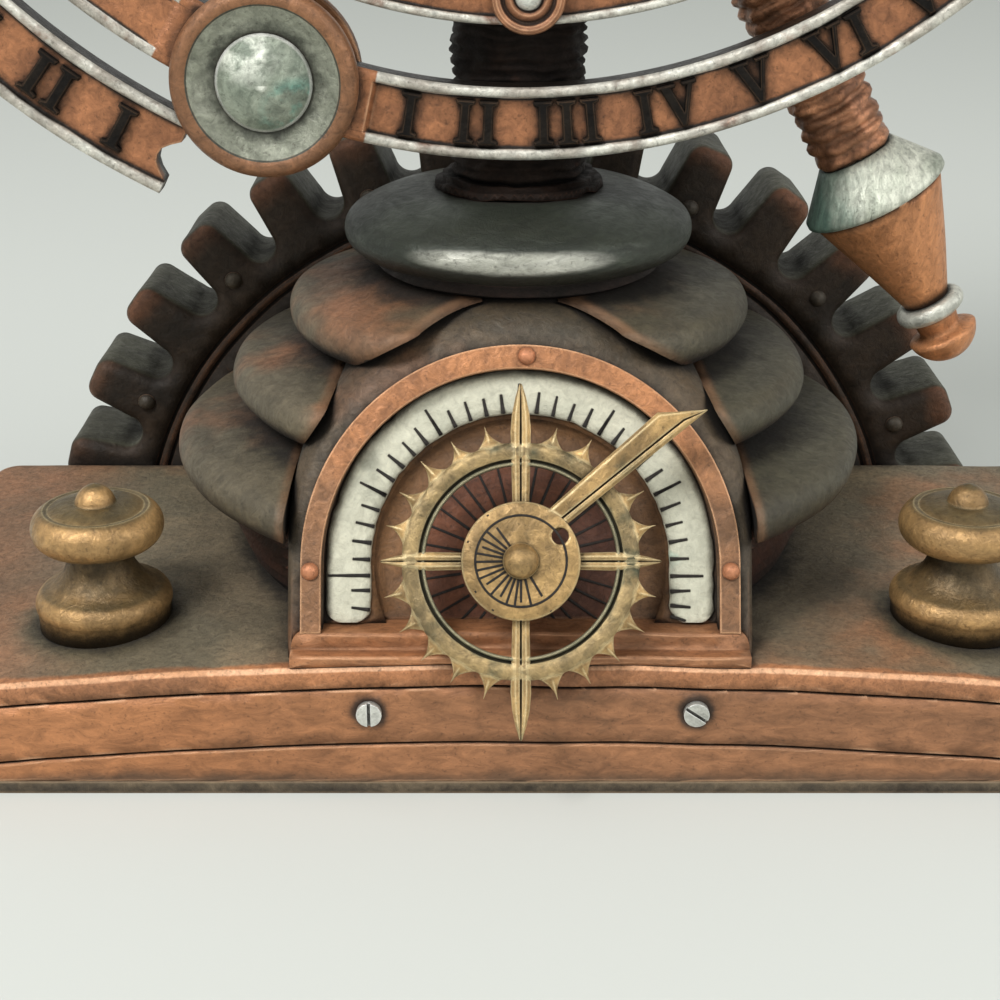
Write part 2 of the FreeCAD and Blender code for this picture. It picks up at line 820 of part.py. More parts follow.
def make_gauge():
    housing = hood()
    gear_side = Part.makeBox(big, big, big, V(-big / 2, base_back_y, -1))
    recess = on_gauge(horseshoe(dial_outer_r + face_gap, gauge_foot_v, -dial_recess, 5))
    well = on_gauge(disc(dial_inner_r - 0.3, -floor_recess, 5))
    step = gauge_step()
    housing = housing.cut(recess).cut(well).cut(gear_side).cut(step)
    boss = on_gauge(disc(arbor_boss_r, -floor_recess - 1, wheel_back_s - face_gap, 0, wheel_v))
    housing = one_solid(on_deck(housing)).fuse(boss)
    housing = one_solid(housing.cut(on_gauge(disc(arbor_r, -arbor_root, 20, 0, wheel_v))))
    save("gauge_housing", housing)

    dial_foot_v = gauge_foot_v + dial_foot_gap
    dial = horseshoe(dial_outer_r, dial_foot_v, -dial_recess, -dial_recess + dial_t)
    dial = dial.cut(horseshoe(dial_inner_r, gauge_foot_v - 5, -9, 9))
    ends = [e for e in dial.Edges if abs(e.tangentAt(e.FirstParameter).z) > 0.9
            and e.CenterOfMass.y < dial_foot_v + 0.2]
    dial = dial.makeFillet(dial_end_round, ends)
    save("gauge_dial", one_solid(on_gauge(dial).cut(step)))

    frame = horseshoe(gauge_frame_r, gauge_foot_v, 0, gauge_frame_t)
    frame = frame.cut(horseshoe(gauge_frame_bore_r, gauge_foot_v - 5, -9, 9, gauge_bore_drop))
    frame = one_solid(on_gauge(frame).cut(step))
    save("gauge_frame", frame)

    save("gauge_step", on_deck(step))

    top = wheel_front_s
    hub_top = pointer_back_s + pointer_hub_t
    arbor = disc(arbor_r, -arbor_root, hub_top + face_gap)
    arbor = arbor.fuse(rivet(hub_nut_r, hub_top + face_gap, 0, 0, hub_nut_h))
    arbor.translate(V(0, wheel_v, 0))
    save("gauge_arbor", on_gauge(arbor))

    ring = washer(wheel_ring_out_r, wheel_ring_in_r, wheel_back_s, top)
    wheel = ring.fuse(disc(wheel_hub_r, wheel_back_s, top))
    for k in range(4):
        length = sword_long if k % 2 == 0 else sword_short
        wheel = wheel.fuse(turn(sword(length, sword_w / 2), 90 * k))
    for k in range(wheel_thorns):
        if k % (wheel_thorns // 4):
            wheel = wheel.fuse(thorn(360.0 * k / wheel_thorns))
    wheel = wheel.cut(disc(arbor_r + turn_clearance, -1, 20))
    wheel.translate(V(0, wheel_v, 0))
    save("spiked_wheel", one_solid(on_gauge(wheel)))

    s0 = pointer_back_s
    hub = disc(pointer_hub_r, s0, s0 + pointer_hub_t)
    blade = slab([(pointer_hub_r - 2, 0), (pointer_len, 0), (pointer_len - pointer_tip_cut, pointer_end_w),
                  (pointer_hub_r - 2, pointer_root_w)], s0, s0 + pointer_t)
    pointer = hub.fuse(turn(blade, pointer_rest_deg))
    a = math.radians(pointer_hole_deg)
    pointer = pointer.cut(disc(pointer_hole_r, -1, 20, pointer_hole_at_r * math.cos(a),
                               pointer_hole_at_r * math.sin(a)))
    pointer = pointer.cut(disc(arbor_r + turn_clearance, -1, 20))
    pointer.translate(V(0, wheel_v, 0))
    save("gauge_pointer", one_solid(on_gauge(pointer)))


# dome

def saucer(r, z, top_r):
    """Thick rolled-edge saucer with a sloping top and a tie-rod bore."""
    zb = z - saucer_down
    zt = z + saucer_up
    edges = [line((dome_bore_r, zb), (r - saucer_lip, zb)),
             arc((r - saucer_lip, zb), (r, z - saucer_edge_drop), (r - saucer_shoulder, z + saucer_crown)),
             line((r - saucer_shoulder, z + saucer_crown), (top_r, zt)),
             line((top_r, zt), (dome_bore_r, zt)),
             line((dome_bore_r, zt), (dome_bore_r, zb))]
    return turned_edges(edges)


def bellows(r_low, r_high, z0, z1, ribs):
    """Stack of thin ribs, as on a pleated sleeve."""
    h = (z1 - z0) / ribs
    pts = [(dome_bore_r, z0)]
    for k in range(ribs):
        r = r_low + (r_high - r_low) * (k + 0.5) / ribs
        pts += [(r - bellows_rib, z0 + k * h), (r + bellows_rib, z0 + (k + 0.5) * h)]
    pts += [(r_high - bellows_rib, z1), (dome_bore_r, z1)]
    return turned(pts)


def make_dome():
    gear_side = Part.makeBox(big, big, big, V(-big / 2, base_back_y, -1))
    niche = hood_niche(base_half_width)
    sweep = on_gauge(disc(pointer_len + pointer_play, pointer_back_s - pointer_play, gauge_frame_r, 0, wheel_v))
    cutters = [gear_side, niche, sweep]

    def fit(shape):
        for c in cutters:
            shape = shape.cut(c)
        return one_solid(shape)

    n = len(saucer_r)
    sleeves = []
    for k in range(n):
        seat = saucer_r[k + 1] - bellows_in if k + 1 < n else cap_under_r - cap_seat_in
        body = saucer(saucer_r[k], saucer_z[k], seat + bellows_rib + 0.4)
        save("dome_saucer_%d" % (k + 1), fit(body))
        z0 = saucer_z[k] + saucer_up
        z1 = saucer_z[k + 1] - saucer_down if k + 1 < n else cap_z - cap_down
        sleeves.append(fit(bellows(seat, seat, z0, z1, bellows_ribs)))
    save("dome_bellows", group(sleeves))
    foot = bellows(foot_low_r, foot_top_r, deck_top_z - foot_sink, saucer_z[0] - saucer_down, foot_ribs)
    save("dome_foot", on_deck(fit(foot)))

    zb = cap_z - cap_down
    first_r = column_r + column_foot_steps[0][0]
    edges = [line((tie_rod_r, zb), (cap_under_r, zb)),
             arc((cap_under_r, zb), (cap_r, cap_z - saucer_edge_drop), (cap_r - 1.6, cap_z + 2.0)),
             arc((cap_r - 1.6, cap_z + 2.0), (cap_r - 6.5, cap_z + 4.3), (first_r, cap_top_z)),
             line((first_r, cap_top_z), (tie_rod_r, cap_top_z)),
             line((tie_rod_r, cap_top_z), (tie_rod_r, zb))]
    save("dome_cap", one_solid(turned_edges(edges).cut(gear_side)))

    roof = deck_top_z - deck_t - body_roof_t
    bolt = Part.makeCylinder(tie_rod_r, cap_top_z + tie_rod_reach - roof, V(0, 0, roof))
    save("dome_tie_bolt", bolt.fuse(slab(hexagon(tie_head_across), roof - tie_head_h, roof)))


# column

def make_column():
    z = cap_top_z
    pts = [(tie_rod_r, z)]
    for out, h in column_foot_steps:
        pts += [(column_r + out, z), (column_r + out, z + h)]
        z += h
    top = ring_z - case_r + column_root
    ribs = int((top - z) / column_rib_pitch)
    pitch = (top - z) / ribs
    inner = column_r - column_rib_depth
    for k in range(ribs):
        pts += [(inner, z + k * pitch), (column_r, z + (k + 0.35) * pitch), (column_r, z + (k + 0.65) * pitch)]
    pts += [(inner, top), (tie_rod_r, top)]
    column = turned(pts)
    drum = on_clock(disc(case_r, -case_back_y - 5, -case_front_y + 5))
    save("column", one_solid(column.cut(drum).cut(on_ring(spider_hub()))))


# gear plate

def gear_gap(deg):
    root_half = gear_gap_root_w / 2
    tip_half = gear_gap_tip_w / 2
    base_r = gear_root_r + root_half
    past_tip = gear_tip_r + 1
    far = gear_tip_r + gear_gap_run
    wedge = slab([(-root_half, base_r), (root_half, base_r), (tip_half, past_tip), (tip_half, far),
                  (-tip_half, far), (-tip_half, past_tip)], -gear_t - 1, 1)
    cutter = wedge.fuse(disc(root_half, -gear_t - 1, 1, 0, base_r))
    return turn(cutter, deg - 90)


def gear_screw_bores():
    """Clearance for each screw and the deep bore that its head goes in by."""
    out = []
    for x in (-gear_screw_x, gear_screw_x):
        v = gear_screw_z - gear_z
        out.append(disc(base_screw_shank_r + gear_screw_play, -gear_t - 1, 1, x, v))
        out.append(disc(base_screw_head_r + gear_screw_play, -gear_t - 1, -gear_screw_seat_t, x, v))
    return out


def make_gear():
    plate = disc(gear_tip_r, -gear_t, 0)
    for k in range(-1, gear_gap_count + 1):
        plate = plate.cut(gear_gap(gear_gap_deg + k * gear_pitch_deg))
    plate = plate.common(block(-big, big, -gear_z, big, -gear_t, 0))
    tips = []
    for e in plate.Edges:
        c = e.CenterOfMass
        if abs(e.tangentAt(e.FirstParameter).z) > 0.9 and math.hypot(c.x, c.y) > gear_tip_r - 0.3:
            if c.y > 4.0 * gear_gap_root_w / 2:
                tips.append(e)
    plate = plate.makeFillet(gear_tip_round, tips)
    for inset in gear_groove_in:
        r = gear_root_r - inset
        plate = plate.cut(washer(r + gear_groove_w / 2, r - gear_groove_w / 2, -gear_groove_w, 1))
    for hole in gear_screw_bores():
        plate = plate.cut(hole)
    save("gear_plate", one_solid(facing(plate, base_back_y, gear_z)))

    heads = []
    for k in range(gear_rivet_count):
        a = math.radians(gear_rivet_first_deg + k * gear_rivet_step_deg)
        r = gear_root_r + gear_rivet_out
        heads.append(rivet(gear_rivet_r, 0, r * math.cos(a), r * math.sin(a)))
    a = math.radians(gear_rivet_first_deg)
    r = gear_root_r - gear_band_rivet_in
    for side in (-1, 1):
        heads.append(rivet(gear_rivet_r, 0, side * r * math.cos(a), r * math.sin(a)))
    heads = [facing(h, base_back_y, gear_z) for h in heads]
    save("rivets", group(heads + gauge_rivets()))


# rings

def channelled(r_out, width, rim, s0, s1, deg0=None, deg1=None):
    """Flat band with two raised rims and a lowered floor."""
    if deg0 is None:
        band = washer(r_out, r_out - width, s0, s1)
        floor = washer(r_out - rim, r_out - width + rim, s1 - floor_drop, s1 + 1)
    else:
        band = sector(r_out, r_out - width, deg0, deg1, s0, s1)
        inset = math.degrees(rim / r_out)
        sign = 1 if deg1 > deg0 else -1
        floor = sector(r_out - rim, r_out - width + rim, deg0 + sign * inset, deg1 - sign * inset,
                       s1 - floor_drop, s1 + 1)
    return band.cut(floor)


def boss_centres():
    return [polar(boss_at_r, d) for d in boss_deg]


def spider_screw_places():
    out = []
    for d in spider_arm_degs:
        out.append(polar(inner_ring_r - inner_ring_w / 2, d))
        out.append(polar(main_ring_r - main_ring_w / 2, d))
    return out


def make_rings():
    s1 = ring_t
    main = washer(main_ring_r, main_ring_r - main_ring_w, 0, s1)
    panel = sector(main_ring_r - rim_w, main_ring_r - main_ring_w + rim_w, panel_start_deg, panel_end_deg,
                   s1 - floor_drop, s1 + 1)
    plain = sector(main_ring_r - rim_w, main_ring_r - main_ring_w + rim_w, boss_deg[0] + boss_margin_deg,
                   boss_deg[1] - boss_margin_deg, s1 - floor_drop * 0.4, s1 + 1)
    upper = sector(main_ring_r - rim_w, main_ring_r - main_ring_w + rim_w, boss_deg[1] + boss_margin_deg,
                   upper_panel_end_deg, s1 - floor_drop, s1 + 1)
    main = main.cut(panel).cut(plain).cut(upper)

    inner = channelled(inner_ring_r, inner_ring_w, inner_rim_w, 0, s1)

    outer = channelled(arc_in_r + arc_w, arc_w, rim_w, 0, s1, arc_start_deg, arc_end_deg)
    for d in (arc_start_deg, arc_end_deg):
        u, v = polar(arc_in_r + arc_bite_in, d)
        outer = outer.cut(disc(arc_bite_r, -1, s1 + 1, u, v))

    holes = [disc(spider_screw_r, -1, s1 - floor_drop - 0.8, u, v) for u, v in spider_screw_places()]
    for u, v in boss_centres():
        holes.append(disc(boss_screw_r, -1, s1 + 1, u, v))
    saddle_holes = [disc(spider_screw_r, -1, s1 - floor_drop - 0.8, *polar(r, 0))
                    for r in (main_ring_r - main_ring_w / 2, inner_ring_r - inner_ring_w / 2)]
    for h in holes + saddle_holes:
        main = main.cut(h)
        inner = inner.cut(h)
        outer = outer.cut(h)
    save("main_ring", one_solid(on_ring(main)))
    save("inner_ring", one_solid(on_ring(inner)))
    save("outer_arc", one_solid(on_ring(outer)))

    shells = []
    domes = []
    backs = []
    for u, v in boss_centres():
        shell = disc(boss_r, s1, s1 + boss_t, u, v)
        edge = [e for e in shell.Edges if e.CenterOfMass.z > s1 + boss_t - 0.01 and len(e.Vertexes) == 1]
        shell = shell.makeFillet(boss_edge_r, edge)
        shell = shell.cut(disc(boss_cup_r, s1 + boss_t - boss_cup_depth, s1 + boss_t + 1, u, v))
        shell = shell.cut(disc(boss_screw_r, 0, s1 + boss_t + 1, u, v))
        shells.append(on_ring(shell))
        dome = rivet(boss_dome_r, s1 + boss_t - boss_cup_depth, u, v, boss_dome_h)
        domes.append(on_ring(dome.fuse(disc(boss_screw_r, 0, s1 + boss_t - boss_cup_depth, u, v))))
        back = disc(boss_r, -boss_back_t, 0, u, v)
        backs.append(on_ring(back))
    save("boss_shells", group(shells))
    save("boss_domes", group(domes))
    save("boss_backplates", group(backs))

    studs = []
    for d in stud_degs:
        u, v = polar(inner_ring_r - inner_ring_w / 2, d)
        bead = rivet(stud_bead_r, s1 + stud_t, u, v, stud_bead_h)
        studs.append(on_ring(disc(stud_r, s1, s1 + stud_t, u, v).fuse(bead)))
    save("inner_ring_studs", group(studs))


def spider_hub():
    return washer(case_r + spider_hub_w, case_r, -spider_t, 0)


def make_spider():
    hub = spider_hub()
    reach = main_ring_r - spider_arm_short
    for d in spider_arm_degs:
        arm = block(-spider_arm_w / 2, spider_arm_w / 2, case_r + 1.0, reach, -spider_t, 0)
        arm = turn(arm, 180.0 - d)
        hub = hub.fuse(arm)
    backs = [disc(boss_r + face_gap, -boss_back_t - 1, 1, u, v) for u, v in boss_centres()]
    for b in backs:
        hub = hub.cut(b)
    for u, v in spider_screw_places():
        hub = hub.cut(disc(spider_screw_r, -spider_t - 1, 1, u, v))
    save("ring_spider", one_solid(on_ring(hub.removeSplitter())))

    saddles = []
    column_cut = Part.makeCylinder(column_r, big, V(0, 0, 0))
    for r, w in ((main_ring_r, main_ring_w), (inner_ring_r, inner_ring_w)):
        u, v = polar(r - w / 2, 0)
        pad = on_ring(block(-saddle_w / 2, saddle_w / 2, v - w / 2 + saddle_inset, v + w / 2 - saddle_inset,
                            -saddle_t, 0))
        saddles += pad.cut(column_cut).Solids
    save("ring_saddles", group(saddles))

    screws = []
    for u, v in spider_screw_places():
        shank = disc(spider_screw_r, -spider_t, ring_t - floor_drop - spider_screw_skin, u, v)
        head = disc(spider_screw_head_r, -spider_t - spider_screw_head_t, -spider_t, u, v)
        slot = block(u - 3, u + 3, v - slot_w / 2, v + slot_w / 2,
                     -spider_t - spider_screw_head_t - 1, -spider_t - spider_screw_head_t + slot_depth)
        screws.append(on_ring(shank.fuse(head).cut(slot)))
    save("spider_screws", group(screws))


# alidade rod

def along_rod(shape):
    """Local +Z runs down along the rod from the foot of the ring centre's offset."""
    a = math.radians(rod_deg)
    foot = V(-rod_offset * math.cos(a), 0, ring_z - rod_offset * math.sin(a))
    out = shape.copy()
    lie = FreeCAD.Placement(foot, FreeCAD.Rotation(V(0, 1, 0), 180.0 - rod_deg))
    out.Placement = lie.multiply(out.Placement)
    return out


def ribbed(r0, r1, z0, z1, pitch, depth):
    ribs = int(abs(z1 - z0) / pitch)
    step = (z1 - z0) / ribs
    pts = [(0, z0)]
    for k in range(ribs):
        r = r0 + (r1 - r0) * k / ribs
        pts += [(r - depth, z0 + k * step), (r, z0 + (k + 0.35) * step), (r, z0 + (k + 0.65) * step)]
    pts += [(r1 - depth, z1), (0, z1)]
    return turned(pts)


def make_rod():
    drum = on_clock(disc(case_r, -case_back_y - 5, -case_front_y + 5))
    hub = on_ring(spider_hub())
    neck = along_rod(ribbed(rod_neck_top_r, rod_neck_r, rod_start, rod_neck_end, rod_rib_pitch, rod_rib_depth))
    save("rod_neck", one_solid(neck.cut(drum).cut(hub)))

    flange = turned([(0, rod_neck_end), (rod_neck_r - 0.1, rod_neck_end), (rod_flange_r, rod_flange_end - 1.0),
                     (rod_flange_r, rod_flange_end - 0.3), (rod_flange_r - rod_flange_rim, rod_flange_end),
                     (0, rod_flange_end)])
    save("rod_flange", along_rod(flange))
    cone = turned([(0, rod_flange_end), (rod_flange_r - rod_cone_in, rod_flange_end),
                   (rod_cone_tip_r, rod_cone_end), (0, rod_cone_end)])
    save("rod_cone", along_rod(cone))
    z0 = rod_cone_end
    z1 = z0 + rod_ring_len
    collar = [line((0, z0), (rod_cone_tip_r + 0.6, z0)),
              arc((rod_cone_tip_r + 0.6, z0), (rod_ring_r, (z0 + z1) / 2), (rod_cone_tip_r + 0.6, z1)),
              line((rod_cone_tip_r + 0.6, z1), (0, z1)),
              line((0, z1), (0, z0))]
    save("rod_collar", along_rod(turned_edges(collar)))
    stem = z1 + rod_stem_len
    brim = stem + rod_brim_len
    knob = turned([(0, z1), (rod_cone_tip_r, z1), (rod_cone_tip_r - 0.3, stem), (rod_tip_r, brim), (0, brim)])
    knob = knob.fuse(rivet(rod_tip_r, brim, 0, 0, rod_tip_h))
    save("rod_knob", one_solid(along_rod(knob)))

    tail = ribbed(rod_neck_r, rod_neck_r, -rod_start, -rod_tail_end, rod_rib_pitch, rod_rib_depth)
    save("rod_tail", one_solid(along_rod(tail).cut(drum).cut(hub)))
    z0 = rod_tail_end
    z1 = z0 + rod_ferrule_len
    r = rod_tail_ball_r
    ferrule_r = rod_flange_r - rod_ferrule_in
    ferrule = turned([(0, -z0), (ferrule_r, -z0), (ferrule_r, -z0 - rod_ferrule_rim), (r * 0.55, -z1),
                      (0, -z1)])
    ball = Part.makeSphere(r, V(0, 0, -z1 - r * 0.82))
    save("rod_finial", one_solid(along_rod(ferrule.fuse(ball))))


# clock head

def spade_hand(length, half_w, s0, deg, r_hub):
    """Leaf-shaped hand with a pierced eye, drawn pointing up and turned clockwise."""
    pts = [(-half_w * 0.45, 0), (-half_w * 0.45, length * 0.45), (-half_w, length * 0.62),
           (-half_w * 0.4, length * 0.8), (0, length), (half_w * 0.4, length * 0.8),
           (half_w, length * 0.62), (half_w * 0.45, length * 0.45), (half_w * 0.45, 0)]
    hand = slab(pts, s0, s0 + hand_t).fuse(disc(r_hub, s0, s0 + hand_t))
    hand = hand.cut(disc(half_w * 0.42, s0 - 1, s0 + 5, 0, length * 0.62))
    return turn(hand, -deg)


def movement_space():
    half = movement_size / 2
    front = -dial_plate_y - dial_plate_t
    return half, front, front - movement_depth


def motion_wheel_at():
    return (minute_wheel_r + idler_r + wheel_gap, 0.0)


def make_movement():
    half, front, back = movement_space()
    w = movement_wall
    shell = block(-half, half, -half, half, back + w, front)
    shell = shell.cut(block(-half + w, half - w, -half + w, half - w, back + w, front - w))
    bush = disc(bush_r, front, front + dial_plate_t + bush_len)
    shell = shell.fuse(bush).cut(disc(hour_tube_r + turn_clearance, back, front + 20))
    pivot = pivot_r + turn_clearance
    shell = shell.cut(disc(pivot, front - w - 1, front - w + pivot_depth, *motion_wheel_at()))
    save("movement_case", one_solid(on_clock(shell)))

    lid = block(-half, half, -half, half, back, back + w)
    lid = lid.cut(disc(pivot, back + w - pivot_depth, back + w + 1, *motion_wheel_at()))
    lid = lid.cut(disc(knob_arbor_r + turn_clearance, back - 1, back + w + 1, *knob_at))
    bay = cell_r * cell_bay
    half_cell = cell_len / 2
    lid = lid.cut(block(-half_cell, half_cell, -cell_drop - bay, -cell_drop + bay, back - 1, back + w + 1))
    save("movement_cover", one_solid(on_clock(lid)))

    cell_s = front - w - cell_r
    cell = Part.makeCylinder(cell_r, cell_len, V(-cell_len / 2, -cell_drop, cell_s), V(1, 0, 0))
    nub = Part.makeCylinder(cell_nub_r, cell_nub_len, V(cell_len / 2, -cell_drop, cell_s), V(1, 0, 0))
    save("battery_cell", on_clock(cell.fuse(nub)))

    nut = slab(hexagon(nut_across), front + dial_plate_t, front + dial_plate_t + nut_t)
    save("movement_nut", on_clock(nut.cut(disc(bush_r, -50, 50))))

    mw, mh, mt = motor_size
    left = motor_play[0] - movement_inner
    top = movement_inner - motor_play[1]
    save("stepper_motor", on_clock(block(left, left + mw, top - mh, top, front - w - mt, front - w)))
    return front, back


def wheel_on(r, bore, s0, u=0.0, v=0.0):
    wheel = disc(r, s0, s0 + wheel_disc_t, u, v)
    return wheel.cut(disc(bore, s0 - 1, s0 + wheel_disc_t + 1, u, v)) if bore else wheel


def make_clock():
    drum = washer(case_r, case_r - case_wall, -case_back_y, -case_front_y)
    shoulder_front = -dial_plate_y - dial_plate_t
    shoulder = washer(case_r - case_wall + case_weld, case_r - case_wall - dial_shoulder,
                      shoulder_front - dial_shoulder_t, shoulder_front)
    half = back_window / 2
    back_plate = disc(case_r - case_wall + case_weld, -case_back_y, -case_back_y + back_t)
    back_plate = back_plate.cut(block(-half, half, -half, half, -case_back_y - 1, -case_back_y + back_t + 1))
    drum = drum.fuse(shoulder).fuse(back_plate)
    save("clock_case", one_solid(on_clock(drum)))

    dial = disc(case_r - case_wall - seat_play, -dial_plate_y - dial_plate_t, -dial_plate_y)
    save("clock_dial", on_clock(dial.cut(disc(bush_r, -50, 50))))

    lip0 = -bezel_front_y - bezel_lip_t
    bezel = washer(bezel_r, bezel_bore_r, -case_front_y, -bezel_front_y)
    bezel = bezel.cut(disc(glass_r + seat_play, -case_front_y - 1, lip0))
    outer = [e for e in bezel.Edges if e.CenterOfMass.z > -bezel_front_y - 0.01
             and e.BoundBox.XLength > bezel_r + bezel_bore_r]
    bezel = bezel.makeFillet(bezel_round, outer)
    save("clock_bezel", on_clock(bezel))
    save("clock_glass", on_clock(disc(glass_r, lip0 - glass_t, lip0)))

    front, back = make_movement()
    hour_wheel_s = front - movement_wall - first_wheel_gap - wheel_disc_t
    minute_wheel_s = hour_wheel_s - wheel_floor_pitch
    second_wheel_s = minute_wheel_s - wheel_floor_pitch
    bore = minute_arbor_r + turn_clearance
    hour = spade_hand(hour_len, hour_half_w, hour_hand_s, hour_deg, hour_hub_r)
    hour = hour.fuse(disc(hour_tube_r, hour_wheel_s, hour_hand_s)).cut(disc(bore, -50, 50))
    save("hour_hand", one_solid(on_clock(hour)))
    save("hour_wheel", on_clock(wheel_on(hour_wheel_r, hour_tube_r, hour_wheel_s)))

    pin_bore = second_pin_r + turn_clearance
    minute = spade_hand(minute_len, minute_half_w, minute_hand_s, minute_deg, minute_hub_r)
    minute = minute.fuse(disc(minute_arbor_r, minute_wheel_s, minute_hand_s)).cut(disc(pin_bore, -50, 50))
    save("minute_hand", one_solid(on_clock(minute)))
    save("minute_wheel", on_clock(wheel_on(minute_wheel_r, minute_arbor_r, minute_wheel_s)))

    needle_front = second_hand_s + needle_t
    needle = slab([(-0.55, -second_tail), (0.55, -second_tail), (0.2, second_len), (-0.2, second_len)],
                  second_hand_s, needle_front)
    needle = needle.fuse(disc(second_hub_r, second_hand_s, needle_front))
    needle = needle.fuse(disc(second_hub_r + 0.1, second_hand_s, needle_front, 0, -second_tail + 1.5))
    second = turn(needle, -second_deg).fuse(disc(second_pin_r, second_wheel_s - 0.6, second_hand_s))
    save("second_hand", one_solid(on_clock(second)))
    save("second_wheel", on_clock(wheel_on(second_wheel_r, second_pin_r, second_wheel_s)))

    mu, mv = motion_wheel_at()
    idler = wheel_on(idler_r, 0, minute_wheel_s, mu, mv)
    inner_back = back + movement_wall
    arbor = disc(pivot_r, inner_back - pivot_depth + 0.1, front - movement_wall + pivot_depth - 0.1, mu, mv)
    save("motion_wheel", one_solid(on_clock(idler.fuse(arbor))))

    ku, kv = knob_at
    knob = disc(knob_r, back - knob_len, back - face_gap, ku, kv)
    knob = knob.fuse(disc(knob_arbor_r, back - 1, minute_wheel_s, ku, kv))
    save("setting_knob", one_solid(on_clock(knob)))


make_plinth()
make_posts()
make_gauge()
make_dome()
make_column()
make_gear()
make_rings()
make_spider()
make_rod()
make_clock()

for name, shape in parts.items():
    shape.exportStep("parts/%s.step" % name)
    print("%-22s solids %2d  valid %s  volume %.1f" % (name, len(shape.Solids), shape.isValid(), shape.Volume))
print(len(parts), "nodes")
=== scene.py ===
import json
import math
import bmesh
import bpy
from mathutils import Matrix, Vector, noise


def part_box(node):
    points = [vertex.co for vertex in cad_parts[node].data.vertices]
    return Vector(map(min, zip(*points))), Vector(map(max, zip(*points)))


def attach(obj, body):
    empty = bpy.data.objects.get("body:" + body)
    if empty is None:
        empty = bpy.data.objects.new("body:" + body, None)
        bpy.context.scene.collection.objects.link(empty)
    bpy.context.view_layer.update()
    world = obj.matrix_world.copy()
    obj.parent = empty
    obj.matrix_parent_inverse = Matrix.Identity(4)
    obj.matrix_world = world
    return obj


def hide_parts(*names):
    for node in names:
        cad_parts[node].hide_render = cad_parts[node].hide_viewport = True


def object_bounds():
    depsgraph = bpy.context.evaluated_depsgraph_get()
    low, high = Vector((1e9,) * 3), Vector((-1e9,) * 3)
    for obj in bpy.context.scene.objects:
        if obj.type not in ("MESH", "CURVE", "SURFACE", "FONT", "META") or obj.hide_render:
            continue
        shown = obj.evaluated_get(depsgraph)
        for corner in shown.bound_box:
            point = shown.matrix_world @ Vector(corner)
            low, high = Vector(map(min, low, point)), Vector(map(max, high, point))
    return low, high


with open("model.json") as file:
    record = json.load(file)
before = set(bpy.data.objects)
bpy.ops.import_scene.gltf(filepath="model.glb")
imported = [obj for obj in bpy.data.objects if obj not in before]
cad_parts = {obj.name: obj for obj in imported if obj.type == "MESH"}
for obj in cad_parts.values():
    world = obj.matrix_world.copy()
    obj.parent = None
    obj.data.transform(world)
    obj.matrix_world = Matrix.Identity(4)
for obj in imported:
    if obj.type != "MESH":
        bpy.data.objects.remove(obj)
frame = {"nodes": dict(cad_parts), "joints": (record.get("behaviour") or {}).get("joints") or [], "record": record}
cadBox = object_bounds()
cadNodes = frame["nodes"]
nodeInfo = {part["node"]: part for part in frame["record"]["subparts"]}
jointInfo = {joint["name"]: joint for joint in frame["joints"]}
bodyOf = {node: body for body, nodes in frame["record"]["behaviour"]["bodies"].items() for node in nodes}
mm = 0.001      # the frame is in metres
print("frame loaded:", len(cadNodes), "nodes")


# colours and shader groups

def tint(r, g, b):
    # linear colour from 0-255 values
    def channel(v):
        v = v / 255.0
        return v / 12.92 if v <= 0.04045 else ((v + 0.055) / 1.055) ** 2.4
    return (channel(r), channel(g), channel(b), 1.0)


def newGroup(name, inputs, outputs):
    tree = bpy.data.node_groups.new(name, "ShaderNodeTree")
    for label, kind, value in inputs:
        socket = tree.interface.new_socket(label, in_out="INPUT", socket_type=kind)
        socket.default_value = value
    for label, kind in outputs:
        tree.interface.new_socket(label, in_out="OUTPUT", socket_type=kind)
    return tree, tree.nodes.new("NodeGroupInput"), tree.nodes.new("NodeGroupOutput")


def addNode(tree, kind, **settings):
    node = tree.nodes.new(kind)
    for key, value in settings.items():
        setattr(node, key, value)
    return node


def feed(tree, socket, value):
    # link a socket, or set its constant
    if isinstance(value, bpy.types.NodeSocket):
        tree.links.new(value, socket)
    elif value is not None:
        socket.default_value = value


def mathNode(tree, operation, a, b=None, c=None, clamp=False):
    node = addNode(tree, "ShaderNodeMath", operation=operation, use_clamp=clamp)
    for socket, value in zip(node.inputs, (a, b, c)):
        feed(tree, socket, value)
    return node.outputs[0]


def vectorNode(tree, operation, a, b=None):
    node = addNode(tree, "ShaderNodeVectorMath", operation=operation)
    feed(tree, node.inputs[0], a)
    feed(tree, node.inputs[1], b)
    return node


def mapRange(tree, value, low, high, newLow=0.0, newHigh=1.0, smooth=True):
    node = addNode(tree, "ShaderNodeMapRange", interpolation_type="SMOOTHSTEP" if smooth else "LINEAR")
    for label, given in (("Value", value), ("From Min", low), ("From Max", high), ("To Min", newLow),
                         ("To Max", newHigh)):
        feed(tree, node.inputs[label], given)
    return node.outputs["Result"]


def mixColor(tree, factor, a, b):
    node = addNode(tree, "ShaderNodeMix", data_type="RGBA")
    feed(tree, node.inputs["Factor"], factor)
    feed(tree, node.inputs["A"], a)
    feed(tree, node.inputs["B"], b)
    return node.outputs["Result"]


def noiseNode(tree, vector, scale, detail=4.0, roughness=0.55, distortion=0.0):
    node = addNode(tree, "ShaderNodeTexNoise")
    feed(tree, node.inputs["Vector"], vector)
    feed(tree, node.inputs["Scale"], scale)
    node.inputs["Detail"].default_value = detail
    node.inputs["Roughness"].default_value = roughness
    node.inputs["Distortion"].default_value = distortion
    return node.outputs["Fac"]


def objectPlace(tree):
    return addNode(tree, "ShaderNodeTexCoord").outputs["Object"]


